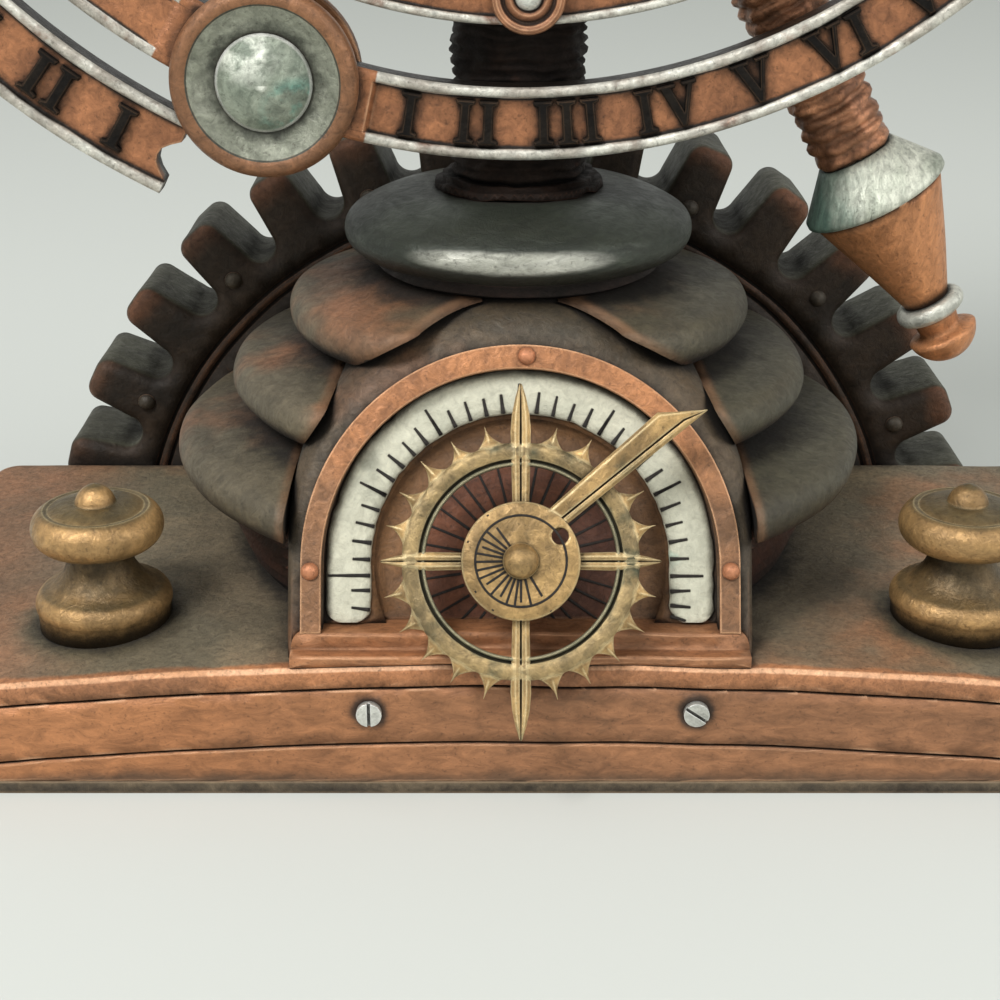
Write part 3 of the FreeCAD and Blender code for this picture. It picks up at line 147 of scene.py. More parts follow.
def makeWearAndShadeGroup():
    # masks for rubbed outer edges and for the dark wash plus painted shade in recesses and under neighbouring
    # parts
    tree, start, end = newGroup("edgeWearAndShade", [
        ("Edge Width", "NodeSocketFloat", 0.001),
        ("Recess Reach", "NodeSocketFloat", 0.004),
        ("Patchiness", "NodeSocketFloat", 0.5),
        ("Patch Scale", "NodeSocketFloat", 220.0),
    ], [("Edge", "NodeSocketFloat"), ("Recess", "NodeSocketFloat"), ("Rounded Normal", "NodeSocketVector")])
    place = objectPlace(tree)
    surface = addNode(tree, "ShaderNodeNewGeometry")
    rounded = addNode(tree, "ShaderNodeBevel", samples=6)
    feed(tree, rounded.inputs["Radius"], start.outputs["Edge Width"])
    across = vectorNode(tree, "DOT_PRODUCT", rounded.outputs["Normal"], surface.outputs["Normal"])
    bend = mathNode(tree, "SUBTRACT", 1.0, across.outputs["Value"], clamp=True)
    near = addNode(tree, "ShaderNodeAmbientOcclusion", samples=6, only_local=True)
    feed(tree, near.inputs["Distance"], mathNode(tree, "MULTIPLY", start.outputs["Edge Width"], 1.6))
    outer = mapRange(tree, near.outputs["AO"], 0.78, 0.93)
    patches = noiseNode(tree, place, start.outputs["Patch Scale"], 5.0, 0.62)
    keep = mapRange(tree, patches, 0.32, 0.62)
    gain = mathNode(tree, "SUBTRACT", 1.0, start.outputs["Patchiness"])
    keep = mathNode(tree, "MULTIPLY_ADD", keep, start.outputs["Patchiness"], gain)
    edge = mapRange(tree, bend, 0.004, 0.07)
    edge = mathNode(tree, "MULTIPLY", edge, outer)
    edge = mathNode(tree, "MULTIPLY", edge, keep, clamp=True)
    # painted shade: occlusion that also counts neighbouring pieces darkens recesses and places under and between
    # parts, along with the dark wash
    far = addNode(tree, "ShaderNodeAmbientOcclusion", samples=6, only_local=False)
    feed(tree, far.inputs["Distance"], start.outputs["Recess Reach"])
    streak = noiseNode(tree, place, 260.0, 5.0, 0.65)
    uneven = mapRange(tree, streak, 0.25, 0.75, -0.2, 0.2, smooth=False)
    depth = mathNode(tree, "ADD", far.outputs["AO"], uneven)
    recess = mapRange(tree, depth, 0.95, 0.38)
    feed(tree, end.inputs["Edge"], edge)
    feed(tree, end.inputs["Recess"], recess)
    feed(tree, end.inputs["Rounded Normal"], rounded.outputs["Normal"])
    return tree


def makeGrainGroup():
    # broad patches, brush marks and fine specks of hand-laid paint, and the surface's height
    tree, start, end = newGroup("brushedPaint", [
        ("Blotch Scale", "NodeSocketFloat", 30.0),
        ("Brush Scale", "NodeSocketFloat", 320.0),
        ("Lump Scale", "NodeSocketFloat", 130.0),
        ("Stretch", "NodeSocketVector", (1.0, 1.0, 1.0)),
    ], [("Blotch", "NodeSocketFloat"), ("Brush", "NodeSocketFloat"), ("Speck", "NodeSocketFloat"),
        ("Height", "NodeSocketFloat")])
    place = objectPlace(tree)
    stretched = vectorNode(tree, "MULTIPLY", place, start.outputs["Stretch"]).outputs[0]
    blotch = noiseNode(tree, stretched, start.outputs["Blotch Scale"], 7.0, 0.66, 1.0)
    brush = noiseNode(tree, stretched, start.outputs["Brush Scale"], 7.0, 0.72, 0.8)
    speck = noiseNode(tree, place, 1500.0, 3.0, 0.7)
    lump = noiseNode(tree, place, start.outputs["Lump Scale"], 4.0, 0.55)
    rough = mathNode(tree, "MULTIPLY_ADD", brush, 0.55, mathNode(tree, "MULTIPLY", speck, 0.12))
    feed(tree, end.inputs["Blotch"], mapRange(tree, blotch, 0.34, 0.66))
    feed(tree, end.inputs["Brush"], mapRange(tree, brush, 0.28, 0.72, smooth=False))
    feed(tree, end.inputs["Speck"], speck)
    feed(tree, end.inputs["Height"], mathNode(tree, "MULTIPLY_ADD", lump, 0.8, rough))
    return tree


def makeTurnedGroup():
    # distance from an axis and height along it, in metres
    tree, start, end = newGroup("turnedPlace", [
        ("Centre", "NodeSocketVector", (0.0, 0.0, 0.0)),
        ("Axis", "NodeSocketVector", (0.0, 0.0, 1.0)),
    ], [("Radius", "NodeSocketFloat"), ("Height", "NodeSocketFloat")])
    away = vectorNode(tree, "SUBTRACT", objectPlace(tree), start.outputs["Centre"]).outputs[0]
    along = vectorNode(tree, "DOT_PRODUCT", away, start.outputs["Axis"]).outputs["Value"]
    lifted = addNode(tree, "ShaderNodeVectorMath", operation="SCALE")
    feed(tree, lifted.inputs[0], start.outputs["Axis"])
    feed(tree, lifted.inputs["Scale"], along)
    flat = vectorNode(tree, "SUBTRACT", away, lifted.outputs[0]).outputs[0]
    feed(tree, end.inputs["Radius"], vectorNode(tree, "LENGTH", flat).outputs["Value"])
    feed(tree, end.inputs["Height"], along)
    return tree


wearAndShadeGroup = makeWearAndShadeGroup()
grainGroup = makeGrainGroup()
turnedGroup = makeTurnedGroup()
print("shader groups built")


# masks for the zones of one finish

def raggedValue(tree, value, ragged, scale, detail, roughness):
    # a value moved up and down by noise, so that a zone doesn't end in a clean line
    waves = noiseNode(tree, objectPlace(tree), scale, detail, roughness)
    drift = mapRange(tree, waves, 0.2, 0.8, -ragged, ragged, smooth=False)
    return mathNode(tree, "ADD", value, drift)


def attributeMask(name, ragged=0.0, raggedScale=300.0):
    # from a mask stored on the mesh
    def build(tree):
        value = addNode(tree, "ShaderNodeAttribute", attribute_name=name).outputs["Fac"]
        if ragged:
            value = raggedValue(tree, value, ragged, raggedScale, 5.0, 0.65)
        return mapRange(tree, value, 0.3, 0.7)
    return build


def turnedMask(centre, axis, output, low, high, ragged=0.0, raggedScale=160.0):
    # from 0 at low to 1 at high, with a ragged border
    def build(tree):
        node = addNode(tree, "ShaderNodeGroup", node_tree=turnedGroup)
        node.inputs["Centre"].default_value = centre
        node.inputs["Axis"].default_value = axis
        value = node.outputs[output]
        if ragged:
            value = raggedValue(tree, value, ragged, raggedScale, 4.0, 0.6)
        return mapRange(tree, value, low, high)
    return build


def facingMask(direction, low, high):
    # how much the surface faces a direction
    def build(tree):
        surface = addNode(tree, "ShaderNodeNewGeometry")
        across = vectorNode(tree, "DOT_PRODUCT", surface.outputs["Normal"], direction)
        return mapRange(tree, across.outputs["Value"], low, high)
    return build


def patchMask(scale, low, high):
    # scattered patches
    def build(tree):
        return mapRange(tree, noiseNode(tree, objectPlace(tree), scale, 4.0, 0.6), low, high)
    return build


def allOf(*masks):
    # where all the masks meet
    def build(tree):
        result = masks[0](tree)
        for mask in masks[1:]:
            result = mathNode(tree, "MULTIPLY", result, mask(tree))
        return result
    return build


reliefDepth = 0.5      # millimetres that the bump stands for


def agedShadedMaterial(name, paint, second, worn, washAndShade, metallic=0.4, roughness=0.45, edgeWidth=0.7,
                 edgeAmount=0.95, recessReach=3.0, recessAmount=0.95, patchiness=0.5, blotchScale=34.0,
                 brushScale=620.0, lumpScale=240.0, brushContrast=0.42, speckAmount=0.45, bump=0.7,
                 gloss=0.5, stretch=(1, 1, 1), zones=()):
    # two mixed tones, other zones of paint, brush marks, dark wash and painted shade in recesses, rubbed edges;
    # a zone is a mask, its two tones and the colour of its rubbed edges, or None for the finish's own
    material = bpy.data.materials.new(name)
    material.use_nodes = True
    tree = material.node_tree
    shader = tree.nodes["Principled BSDF"]
    wearAndShade = addNode(tree, "ShaderNodeGroup", node_tree=wearAndShadeGroup)
    wearAndShade.inputs["Edge Width"].default_value = edgeWidth * mm
    wearAndShade.inputs["Recess Reach"].default_value = recessReach * mm
    wearAndShade.inputs["Patchiness"].default_value = patchiness
    grain = addNode(tree, "ShaderNodeGroup", node_tree=grainGroup)
    grain.inputs["Blotch Scale"].default_value = blotchScale
    grain.inputs["Brush Scale"].default_value = brushScale
    grain.inputs["Lump Scale"].default_value = lumpScale
    grain.inputs["Stretch"].default_value = stretch
    color = mixColor(tree, grain.outputs["Blotch"], paint, second)
    rubbed = worn
    for mask, zonePaint, zoneSecond, zoneWorn in zones:
        amount = mask(tree)
        zoneColor = mixColor(tree, grain.outputs["Blotch"], zonePaint, zoneSecond)
        color = mixColor(tree, amount, color, zoneColor)
        if zoneWorn:
            rubbed = mixColor(tree, amount, rubbed, zoneWorn)
    marks = mapRange(tree, grain.outputs["Brush"], 0.0, 1.0, 1.0 - brushContrast, 1.0 + brushContrast,
                     smooth=False)
    shade = addNode(tree, "ShaderNodeVectorMath", operation="SCALE")
    feed(tree, shade.inputs[0], color)
    feed(tree, shade.inputs["Scale"], marks)
    specks = mapRange(tree, grain.outputs["Speck"], 0.56, 0.72, 0.0, speckAmount)
    color = mixColor(tree, specks, shade.outputs[0], washAndShade)
    # the wash colour, which also stands in for painted shade, is laid where the occlusion mask is dark
    washAndShadeMix = mathNode(tree, "MULTIPLY", wearAndShade.outputs["Recess"], recessAmount, clamp=True)
    color = mixColor(tree, washAndShadeMix, color, washAndShade)
    bared = mathNode(tree, "MULTIPLY", wearAndShade.outputs["Edge"], edgeAmount, clamp=True)
    color = mixColor(tree, bared, color, rubbed)
    feed(tree, shader.inputs["Base Color"], color)
    shader.inputs["Metallic"].default_value = metallic
    shader.inputs["Specular IOR Level"].default_value = gloss
    rough = mapRange(tree, grain.outputs["Brush"], 0.0, 1.0, roughness + 0.1, roughness - 0.08)
    rough = mathNode(tree, "MULTIPLY_ADD", wearAndShade.outputs["Recess"], 0.25, rough, clamp=True)
    feed(tree, shader.inputs["Roughness"], rough)
    relief = addNode(tree, "ShaderNodeBump")
    relief.inputs["Strength"].default_value = bump
    relief.inputs["Distance"].default_value = reliefDepth * mm
    feed(tree, relief.inputs["Height"], grain.outputs["Height"])
    feed(tree, relief.inputs["Normal"], wearAndShade.outputs["Rounded Normal"])
    feed(tree, shader.inputs["Normal"], relief.outputs["Normal"])
    return material


# places taken from the frame

def middle(node):
    low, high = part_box(node)
    return (low + high) / 2


ringCentre = middle("main_ring")
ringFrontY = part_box("main_ring")[0].y
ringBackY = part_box("main_ring")[1].y
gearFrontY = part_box("gear_plate")[0].y
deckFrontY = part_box("base_deck")[0].y
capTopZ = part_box("dome_cap")[1].z
gaugeCentre = Vector(jointInfo["pointer_turn"]["pos_m"])
gaugeNormal = Vector(jointInfo["pointer_turn"]["axis"]).normalized()
upZ = Vector((0.0, 0.0, 1.0))
frontY = Vector((0.0, -1.0, 0.0))

# finishes

inks = {
    "copper": tint(184, 124, 82), "copperDeep": tint(148, 101, 68), "copperWorn": tint(236, 184, 144),
    "copperWashAndShade": tint(44, 30, 22), "deck": tint(138, 122, 97), "deckDark": tint(112, 103, 84),
    "deckRubbed": tint(160, 112, 78), "sootAndShade": tint(26, 21, 17), "brassWorn": tint(240, 218, 168),
    "silver": tint(206, 206, 194), "silverDeep": tint(160, 160, 150), "silverWorn": tint(246, 246, 238),
    "silverWashAndShade": tint(44, 40, 34),
}

copper = agedShadedMaterial("copperPaint", inks["copper"], inks["copperDeep"], inks["copperWorn"],
                      inks["copperWashAndShade"], stretch=(0.45, 1.0, 1.0))
screwLow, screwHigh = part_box("front_band_screws")
screwRadius = (screwHigh.z - screwLow.z) / 2
screwMiddleZ = (screwHigh.z + screwLow.z) / 2


def washShadeRound(x):
    # dark wash and painted shade round a screw's head
    return turnedMask((x, 0, screwMiddleZ), frontY, "Radius", screwRadius * 1.9, screwRadius * 1.1,
                      0.5 * mm, 600.0)


def dirtShadeAround(joint):
    # dirt and painted contact shade on the deck round a post's foot
    return turnedMask(jointInfo[joint]["pos_m"], upZ, "Radius", 14.5 * mm, 10.0 * mm, 2.2 * mm, 110.0)


# the plinth's copper darkens from the left towards the middle and the right
bandFinish = agedShadedMaterial(
    "bandPaint", tint(180, 122, 80), tint(160, 106, 68), inks["copperWorn"], inks["copperWashAndShade"],
    metallic=0.3, stretch=(0.4, 1.0, 1.0), recessReach=2.2, zones=[
        (turnedMask((0, 0, 0), (1, 0, 0), "Height", -52 * mm, -8 * mm, 16 * mm, 30.0), tint(166, 115, 79),
         tint(138, 97, 68), None),
        (patchMask(60.0, 0.64, 0.8), tint(124, 88, 62), tint(106, 78, 56), None),
        (washShadeRound(screwLow.x + screwRadius), tint(84, 62, 48), tint(62, 48, 38), None),
        (washShadeRound(screwHigh.x - screwRadius), tint(84, 62, 48), tint(62, 48, 38), None),
        (turnedMask((0, 0, 0), upZ, "Height", 4.4 * mm, 1.9 * mm, 1.2 * mm, 120.0), tint(110, 80, 58),
         tint(84, 66, 50), None)])
archFinish = agedShadedMaterial(
    "archPaint", tint(190, 130, 86), tint(150, 102, 68), tint(240, 186, 142), inks["copperWashAndShade"],
    metallic=0.35, edgeWidth=0.45, recessReach=1.6, blotchScale=70.0, brushContrast=0.45, zones=[
        (patchMask(90.0, 0.6, 0.74), tint(124, 92, 66), tint(104, 78, 58), None),
        # painted shade: the arch is painted darker towards its lower part
        (turnedMask(gaugeCentre, upZ, "Height", 20 * mm, 3 * mm, 8 * mm, 60.0), tint(148, 106, 74),
         tint(116, 86, 62), None)])
stepFinish = agedShadedMaterial("stepPaint", tint(178, 122, 82), tint(142, 99, 68), tint(236, 180, 138),
                          inks["copperWashAndShade"], metallic=0.3, recessReach=1.6, recessAmount=0.45,
                          stretch=(0.45, 1.0, 1.0))
coneFinish = agedShadedMaterial("conePaint", tint(200, 136, 90), tint(166, 114, 76), inks["copperWorn"],
                          inks["copperWashAndShade"], metallic=0.45, roughness=0.38, stretch=(1.0, 1.0, 0.5))
plinthFinish = agedShadedMaterial(
    "plinthPaint", inks["deck"], inks["deckDark"], inks["copperWorn"], inks["sootAndShade"], metallic=0.15,
    roughness=0.55, edgeWidth=0.9, recessReach=5.0, brushScale=900.0, bump=0.9, zones=[
        (patchMask(26.0, 0.5, 0.7), inks["deckRubbed"], tint(128, 100, 74), None),
        (turnedMask((0, 0, 0), (1, 0, 0), "Height", -58 * mm, -84 * mm, 10 * mm, 40.0), tint(150, 108, 78),
         tint(122, 94, 70), None),
        (dirtShadeAround("left_knob_turn"), tint(108, 98, 76), tint(88, 80, 62), None),
        (dirtShadeAround("right_knob_turn"), tint(108, 98, 76), tint(88, 80, 62), None),
        (turnedMask((0, 0, 0), upZ, "Radius", 60 * mm, 46 * mm, 6 * mm, 60.0), tint(124, 110, 88),
         tint(102, 92, 74), None),
        (turnedMask((0, deckFrontY, 0), frontY, "Height", -2.4 * mm, -1.2 * mm, 0.9 * mm), inks["copper"],
         inks["copperDeep"], inks["copperWorn"]),
        # painted highlight: a bright line along the deck's rounded front lip where it faces up and forward
        (allOf(turnedMask((0, deckFrontY, 0), frontY, "Height", -1.6 * mm, -1.0 * mm, 0.4 * mm, 400.0),
               facingMask((0, -0.66, 0.75), 0.9, 0.98)), inks["copperWorn"], tint(214, 158, 116), None)])
bareBase = agedShadedMaterial("bareBase", tint(120, 104, 82), tint(84, 74, 60), tint(150, 126, 98), inks["sootAndShade"],
                        metallic=0.05, roughness=0.7, blotchScale=90.0)
domeFinish = agedShadedMaterial(
    "domePaint", tint(108, 98, 78), tint(82, 75, 60), tint(168, 124, 90), inks["sootAndShade"], metallic=0.2,
    roughness=0.5, edgeWidth=2.4, edgeAmount=0.5, recessReach=9.0, lumpScale=150.0, zones=[
        (patchMask(30.0, 0.47, 0.64), tint(152, 104, 72), tint(118, 86, 62), None),
        (turnedMask((0, 0, 0), (1, 0, 0), "Height", 6 * mm, 30 * mm, 8 * mm, 50.0), tint(78, 74, 58),
         tint(62, 58, 46), None),
        # painted shade: the saucers' downward-facing undersides are painted darker
        (facingMask((0, 0, 1), -0.1, -0.7), tint(60, 48, 38), tint(44, 36, 30), None)])
bellowsFinish = agedShadedMaterial(
    "bellowsPaint", tint(78, 48, 38), tint(48, 34, 27), tint(140, 92, 70), inks["sootAndShade"], metallic=0.3,
    roughness=0.45, edgeAmount=0.6, edgeWidth=0.5, recessReach=6.0)
brass = agedShadedMaterial(
    "antiqueBrass", tint(190, 155, 102), tint(134, 109, 72), inks["brassWorn"], tint(44, 36, 22),
    metallic=0.55, roughness=0.36, edgeWidth=0.5, recessReach=2.0, blotchScale=90.0,
    brushContrast=0.45, zones=[(patchMask(120.0, 0.58, 0.72), tint(104, 90, 62), tint(84, 78, 56), None)])
# the wheel's band is greener, most of all along its inner edge
wheelBrass = agedShadedMaterial(
    "wheelBrass", tint(176, 150, 104), tint(120, 104, 74), inks["brassWorn"], tint(40, 36, 24),
    metallic=0.5, roughness=0.38, edgeWidth=0.5, recessReach=2.0, blotchScale=110.0,
    brushContrast=0.5, zones=[
        (patchMask(140.0, 0.54, 0.7), tint(104, 98, 72), tint(80, 80, 60), None),
        (turnedMask(gaugeCentre, gaugeNormal, "Radius", 14.0 * mm, 13.3 * mm, 0.5 * mm, 300.0),
         tint(92, 92, 72), tint(66, 68, 54), tint(206, 194, 156))])
postFinish = agedShadedMaterial(
    "postPaint", tint(192, 152, 100), tint(136, 108, 70), inks["brassWorn"], tint(42, 34, 22),
    metallic=0.5, roughness=0.36, edgeWidth=0.6, recessReach=5.0, blotchScale=60.0,
    brushContrast=0.4, zones=[
        (facingMask((0, 0, 1), 0.75, 0.98), tint(116, 98, 64), tint(92, 80, 54), None),
        (allOf(turnedMask((0, 0, 0), upZ, "Height", 31.6 * mm, 29.6 * mm, 1.2 * mm, 90.0),
               turnedMask((0, 0, 0), upZ, "Height", 22.6 * mm, 25.0 * mm, 1.5 * mm, 90.0)),
         tint(124, 100, 66), tint(92, 78, 54), None)])
silver = agedShadedMaterial("antiqueSilver", inks["silver"], inks["silverDeep"], inks["silverWorn"],
                      inks["silverWashAndShade"], metallic=0.5, roughness=0.36, recessReach=1.2)
# painted highlight along the cap's rim where it faces the front, and painted shade on its underside
capFinish = agedShadedMaterial(
    "capPaint", tint(66, 70, 60), tint(44, 48, 41), tint(150, 152, 140), inks["silverWashAndShade"], metallic=0.4,
    roughness=0.44, edgeWidth=1.0, edgeAmount=0.5, recessReach=5.0, stretch=(0.5, 0.5, 1.4), zones=[
        # painted highlight: bright silver on the rim where it faces the front
        (allOf(turnedMask((0, 0, 0), upZ, "Height", capTopZ - 2.8 * mm, capTopZ - 4.0 * mm, 1.8 * mm,
                          260.0),
               facingMask((-0.06, -0.99, 0.15), 0.8, 0.99)),
         tint(244, 242, 230), tint(150, 150, 138), inks["silverWorn"]),
        # painted shade: the cap's downward-facing surfaces are painted darker
        (facingMask((0, 0, 1), -0.1, -0.5), tint(50, 50, 42), tint(38, 36, 30), None)])
gearFinish = agedShadedMaterial(
    "gearPaint", tint(54, 43, 33), tint(38, 32, 26), tint(176, 116, 78), inks["sootAndShade"], metallic=0.2,
    roughness=0.52, edgeWidth=1.2, edgeAmount=0.85, patchiness=0.9, recessReach=6.0, gloss=0.3, zones=[
        (turnedMask((0, 0, 1 * mm), (0, 1, 0), "Radius", 75.5 * mm, 81 * mm, 2.6 * mm, 70.0),
         tint(112, 74, 52), tint(74, 54, 40), inks["copperWorn"]),
        (facingMask((0, 1, 0), -0.6, -0.2), tint(84, 83, 69), tint(60, 58, 47), inks["deckRubbed"])])
# the rivets on the half gear, behind, are darker than those on the gauge's arch
rivetFinish = agedShadedMaterial(
    "rivetPaint", tint(200, 134, 96), tint(168, 112, 80), inks["copperWorn"], inks["copperWashAndShade"],
    metallic=0.35, edgeWidth=0.3, recessReach=1.4, zones=[
        (turnedMask((0, 0, 0), (0, 1, 0), "Height", -24 * mm, -20 * mm), tint(74, 66, 54), tint(48, 43, 36),
         tint(150, 120, 96))])
columnFinish = agedShadedMaterial(
    "columnPaint", tint(38, 25, 17), tint(20, 14, 10), tint(92, 60, 43), tint(10, 8, 6), metallic=0.0,
    roughness=0.6, edgeAmount=0.3, edgeWidth=0.4, gloss=0.15, zones=[
        (patchMask(70.0, 0.6, 0.72), tint(78, 50, 36), tint(56, 38, 28), None)])
neckFinish = agedShadedMaterial(
    "neckPaint", tint(204, 142, 104), tint(116, 78, 56), tint(250, 208, 172), inks["sootAndShade"], metallic=0.55,
    roughness=0.32, edgeWidth=0.6, recessReach=1.8, blotchScale=120.0, brushContrast=0.5)
screwFinish = agedShadedMaterial(
    "screwPaint", tint(214, 214, 206), tint(178, 178, 170), tint(248, 248, 244), tint(24, 20, 16),
    metallic=0.5, roughness=0.32, edgeWidth=0.25, recessReach=0.8)
plainSteel = agedShadedMaterial("plainSteel", tint(206, 206, 200), tint(170, 170, 164), tint(244, 244, 240),
                          tint(40, 36, 32), metallic=0.5, roughness=0.34, edgeWidth=0.3, recessReach=1.2,
                          brushContrast=0.15, bump=0.2)
dialSilver = agedShadedMaterial(
    "gaugeDialPaint", tint(218, 215, 193), tint(196, 195, 175), tint(240, 238, 222), tint(74, 68, 56),
    metallic=0.0, roughness=0.6, edgeWidth=0.4, recessReach=1.6, brushContrast=0.2, speckAmount=0.15,
    lumpScale=500.0, bump=0.8, zones=[
        (patchMask(70.0, 0.54, 0.68), tint(170, 170, 152), tint(140, 140, 124), None),
        (patchMask(110.0, 0.64, 0.78), tint(158, 192, 174), tint(176, 202, 186), None)])
gaugeHood = agedShadedMaterial(
    "gaugeHoodPaint", tint(92, 76, 57), tint(68, 61, 49), tint(140, 102, 74), inks["sootAndShade"], metallic=0.2,
    roughness=0.5, edgeAmount=0.35, recessReach=2.4, lumpScale=150.0, zones=[
        (patchMask(34.0, 0.52, 0.7), tint(124, 88, 63), tint(100, 74, 54), None),
        (turnedMask(gaugeCentre, gaugeNormal, "Radius", 27.6 * mm, 27.0 * mm), tint(134, 96, 62),
         tint(100, 72, 48), inks["copperWorn"]),
        (turnedMask(gaugeCentre, gaugeNormal, "Radius", 14.6 * mm, 13.4 * mm), tint(116, 70, 46),
         tint(80, 48, 34), None)])
enamel = agedShadedMaterial(
    "clockDialPaint", tint(222, 212, 184), tint(200, 188, 156), tint(222, 212, 184), tint(120, 98, 70),
    metallic=0.0, roughness=0.5, brushContrast=0.1, speckAmount=0.15, bump=0.15)
blackened = agedShadedMaterial("blackened", tint(40, 38, 35), tint(28, 27, 26), tint(96, 90, 80), tint(12, 12, 12),
                         metallic=0.3, roughness=0.42, edgeWidth=0.3, edgeAmount=0.35)
lineInk = agedShadedMaterial("lineInk", tint(26, 22, 18), tint(36, 29, 23), tint(46, 36, 28), tint(16, 13, 10),
                       metallic=0.0, roughness=0.65, edgeAmount=0.2)
letterInk = agedShadedMaterial("letterInk", tint(28, 23, 18), tint(15, 12, 10), tint(110, 84, 62), tint(10, 8, 7),
                         metallic=0.0, roughness=0.68, edgeWidth=0.3, edgeAmount=0.45, patchiness=0.9,
                         blotchScale=160.0, bump=0.9, gloss=0.15)
plastic = agedShadedMaterial("blackPlastic", tint(36, 36, 37), tint(30, 30, 31), tint(52, 52, 54), tint(16, 16, 16),
                       metallic=0.0, roughness=0.5, brushContrast=0.05, speckAmount=0.05, bump=0.08)
whitePlastic = agedShadedMaterial("whitePlastic", tint(214, 212, 204), tint(204, 202, 194), tint(224, 222, 216),
                            tint(120, 116, 108), metallic=0.0, roughness=0.45, brushContrast=0.04,
                            speckAmount=0.04, bump=0.08)
cellCopperFrom = 15.0      # x at which the cell's jacket turns from dark to copper
cellJacket = agedShadedMaterial(
    "cellJacket", tint(48, 50, 54), tint(40, 42, 46), tint(90, 90, 92), tint(16, 16, 16), metallic=0.2,
    roughness=0.4, brushContrast=0.04, speckAmount=0.04, bump=0.06, zones=[
        (turnedMask((cellCopperFrom * mm, 0, 0), (1, 0, 0), "Height", 0.0, 0.3 * mm), tint(190, 132, 60),
         tint(176, 120, 54), None)])
# silver rims, a copper floor and dark sides
ringFinish = agedShadedMaterial(
    "ringPaint", tint(222, 220, 208), tint(168, 160, 148), tint(255, 255, 250), tint(28, 22, 17),
    metallic=0.35, roughness=0.36, edgeWidth=0.5, recessReach=1.8, recessAmount=1.0, patchiness=0.6,
    blotchScale=110.0, brushContrast=0.45, zones=[
        (patchMask(150.0, 0.56, 0.72), tint(150, 112, 92), tint(116, 90, 74), None),
        (patchMask(260.0, 0.62, 0.8), tint(128, 114, 102), tint(104, 92, 82), None),
        (attributeMask("floor", 0.25), tint(176, 118, 80), tint(142, 94, 64), inks["copperWorn"]),
        (attributeMask("side", 0.2), tint(38, 31, 25), tint(26, 21, 17), tint(92, 76, 62))])
bossFinish = agedShadedMaterial(
    "bossPaint", tint(160, 112, 78), tint(122, 86, 60), inks["copperWorn"], inks["copperWashAndShade"],
    metallic=0.35, roughness=0.42, edgeWidth=0.8, recessReach=2.0, recessAmount=0.5, zones=[
        (attributeMask("floor", 0.35, 500.0), tint(172, 173, 157), tint(114, 117, 102),
         inks["silverWorn"]),
        (attributeMask("side", 0.22, 520.0), tint(86, 88, 76), tint(56, 58, 50), tint(120, 118, 106))])
# the domes have a painted highlight at the upper left and are green at the lower right
bossDomeFinish = agedShadedMaterial(
    "bossDomePaint", tint(152, 159, 143), tint(106, 116, 102), inks["silverWorn"], tint(48, 52, 45),
    metallic=0.3, roughness=0.42, recessReach=1.5, recessAmount=0.6, blotchScale=130.0,
    brushContrast=0.45, zones=[
        # painted highlight: bright where the dome faces up and to the left
        (allOf(facingMask((-0.2, -0.88, 0.42), 0.86, 0.98), patchMask(220.0, 0.42, 0.6)),
         tint(232, 234, 220), tint(204, 208, 194), None),
        (allOf(facingMask((0.42, -0.82, -0.38), 0.84, 0.98), patchMask(200.0, 0.42, 0.58)),
         tint(112, 160, 144), tint(88, 140, 128), None)])
flangeFinish = agedShadedMaterial(
    "flangePaint", tint(214, 215, 199), tint(150, 156, 140), inks["silverWorn"], tint(48, 54, 48),
    metallic=0.3, roughness=0.42, stretch=(1.6, 1.0, 0.35), recessReach=2.0, blotchScale=70.0,
    brushContrast=0.5, zones=[
        (turnedMask((55 * mm, 0, 0), (-1, 0, 0), "Height", 3.5 * mm, 10.5 * mm, 5 * mm, 90.0),
         tint(104, 128, 114), tint(72, 94, 84), tint(190, 202, 188))])
studFinish = agedShadedMaterial(
    "studPaint", tint(172, 116, 80), tint(134, 92, 66), inks["copperWorn"], inks["copperWashAndShade"], metallic=0.35,
    roughness=0.4, edgeWidth=0.4, recessReach=1.4, zones=[
        (attributeMask("floor"), tint(240, 240, 230), tint(206, 206, 196), inks["silverWorn"]),
        (attributeMask("side", 0.3, 600.0), tint(72, 46, 34), tint(48, 34, 27), None)])
print("finishes mixed")

slotFinish = {
    "copper_paint": copper, "deck_paint": plinthFinish, "bare_base": bareBase, "antique_brass": brass,
    "antique_silver": silver, "dark_column": columnFinish, "gear_paint": gearFinish, "steel": plainSteel,
    "dial_card": enamel, "black_plastic": plastic, "white_plastic": whitePlastic, "dark_hand": blackened,
    "cell_jacket": cellJacket,
}
nodeFinish = {
    "base_body": bandFinish, "front_band": bandFinish, "base_deck": plinthFinish, "gauge_housing": gaugeHood,
    "gauge_frame": archFinish, "gauge_step": stepFinish, "rivets": rivetFinish,
    "front_band_screws": screwFinish, "post_bases": postFinish,
    "left_post_knob": postFinish, "right_post_knob": postFinish,
    "dome_saucer_1": domeFinish, "dome_saucer_2": domeFinish, "dome_saucer_3": domeFinish,
    "dome_foot": bellowsFinish, "dome_bellows": bellowsFinish, "dome_cap": capFinish,
    "gauge_dial": dialSilver, "rod_neck": neckFinish, "rod_tail": neckFinish, "rod_flange": flangeFinish,
    "rod_cone": coneFinish, "rod_knob": coneFinish, "rod_collar": silver, "rod_finial": copper,
}


def paintNode(node, material):
    mesh = cadNodes[node].data
    mesh.materials.clear()
    mesh.materials.append(material)


for node, info in nodeInfo.items():
    finish = nodeFinish.get(node) or slotFinish.get(info["material_slot"])
    if finish:
        paintNode(node, finish)
print("finishes on the nodes")


# shapes: every piece is drawn in a local frame (across, up, out of the face) and then placed

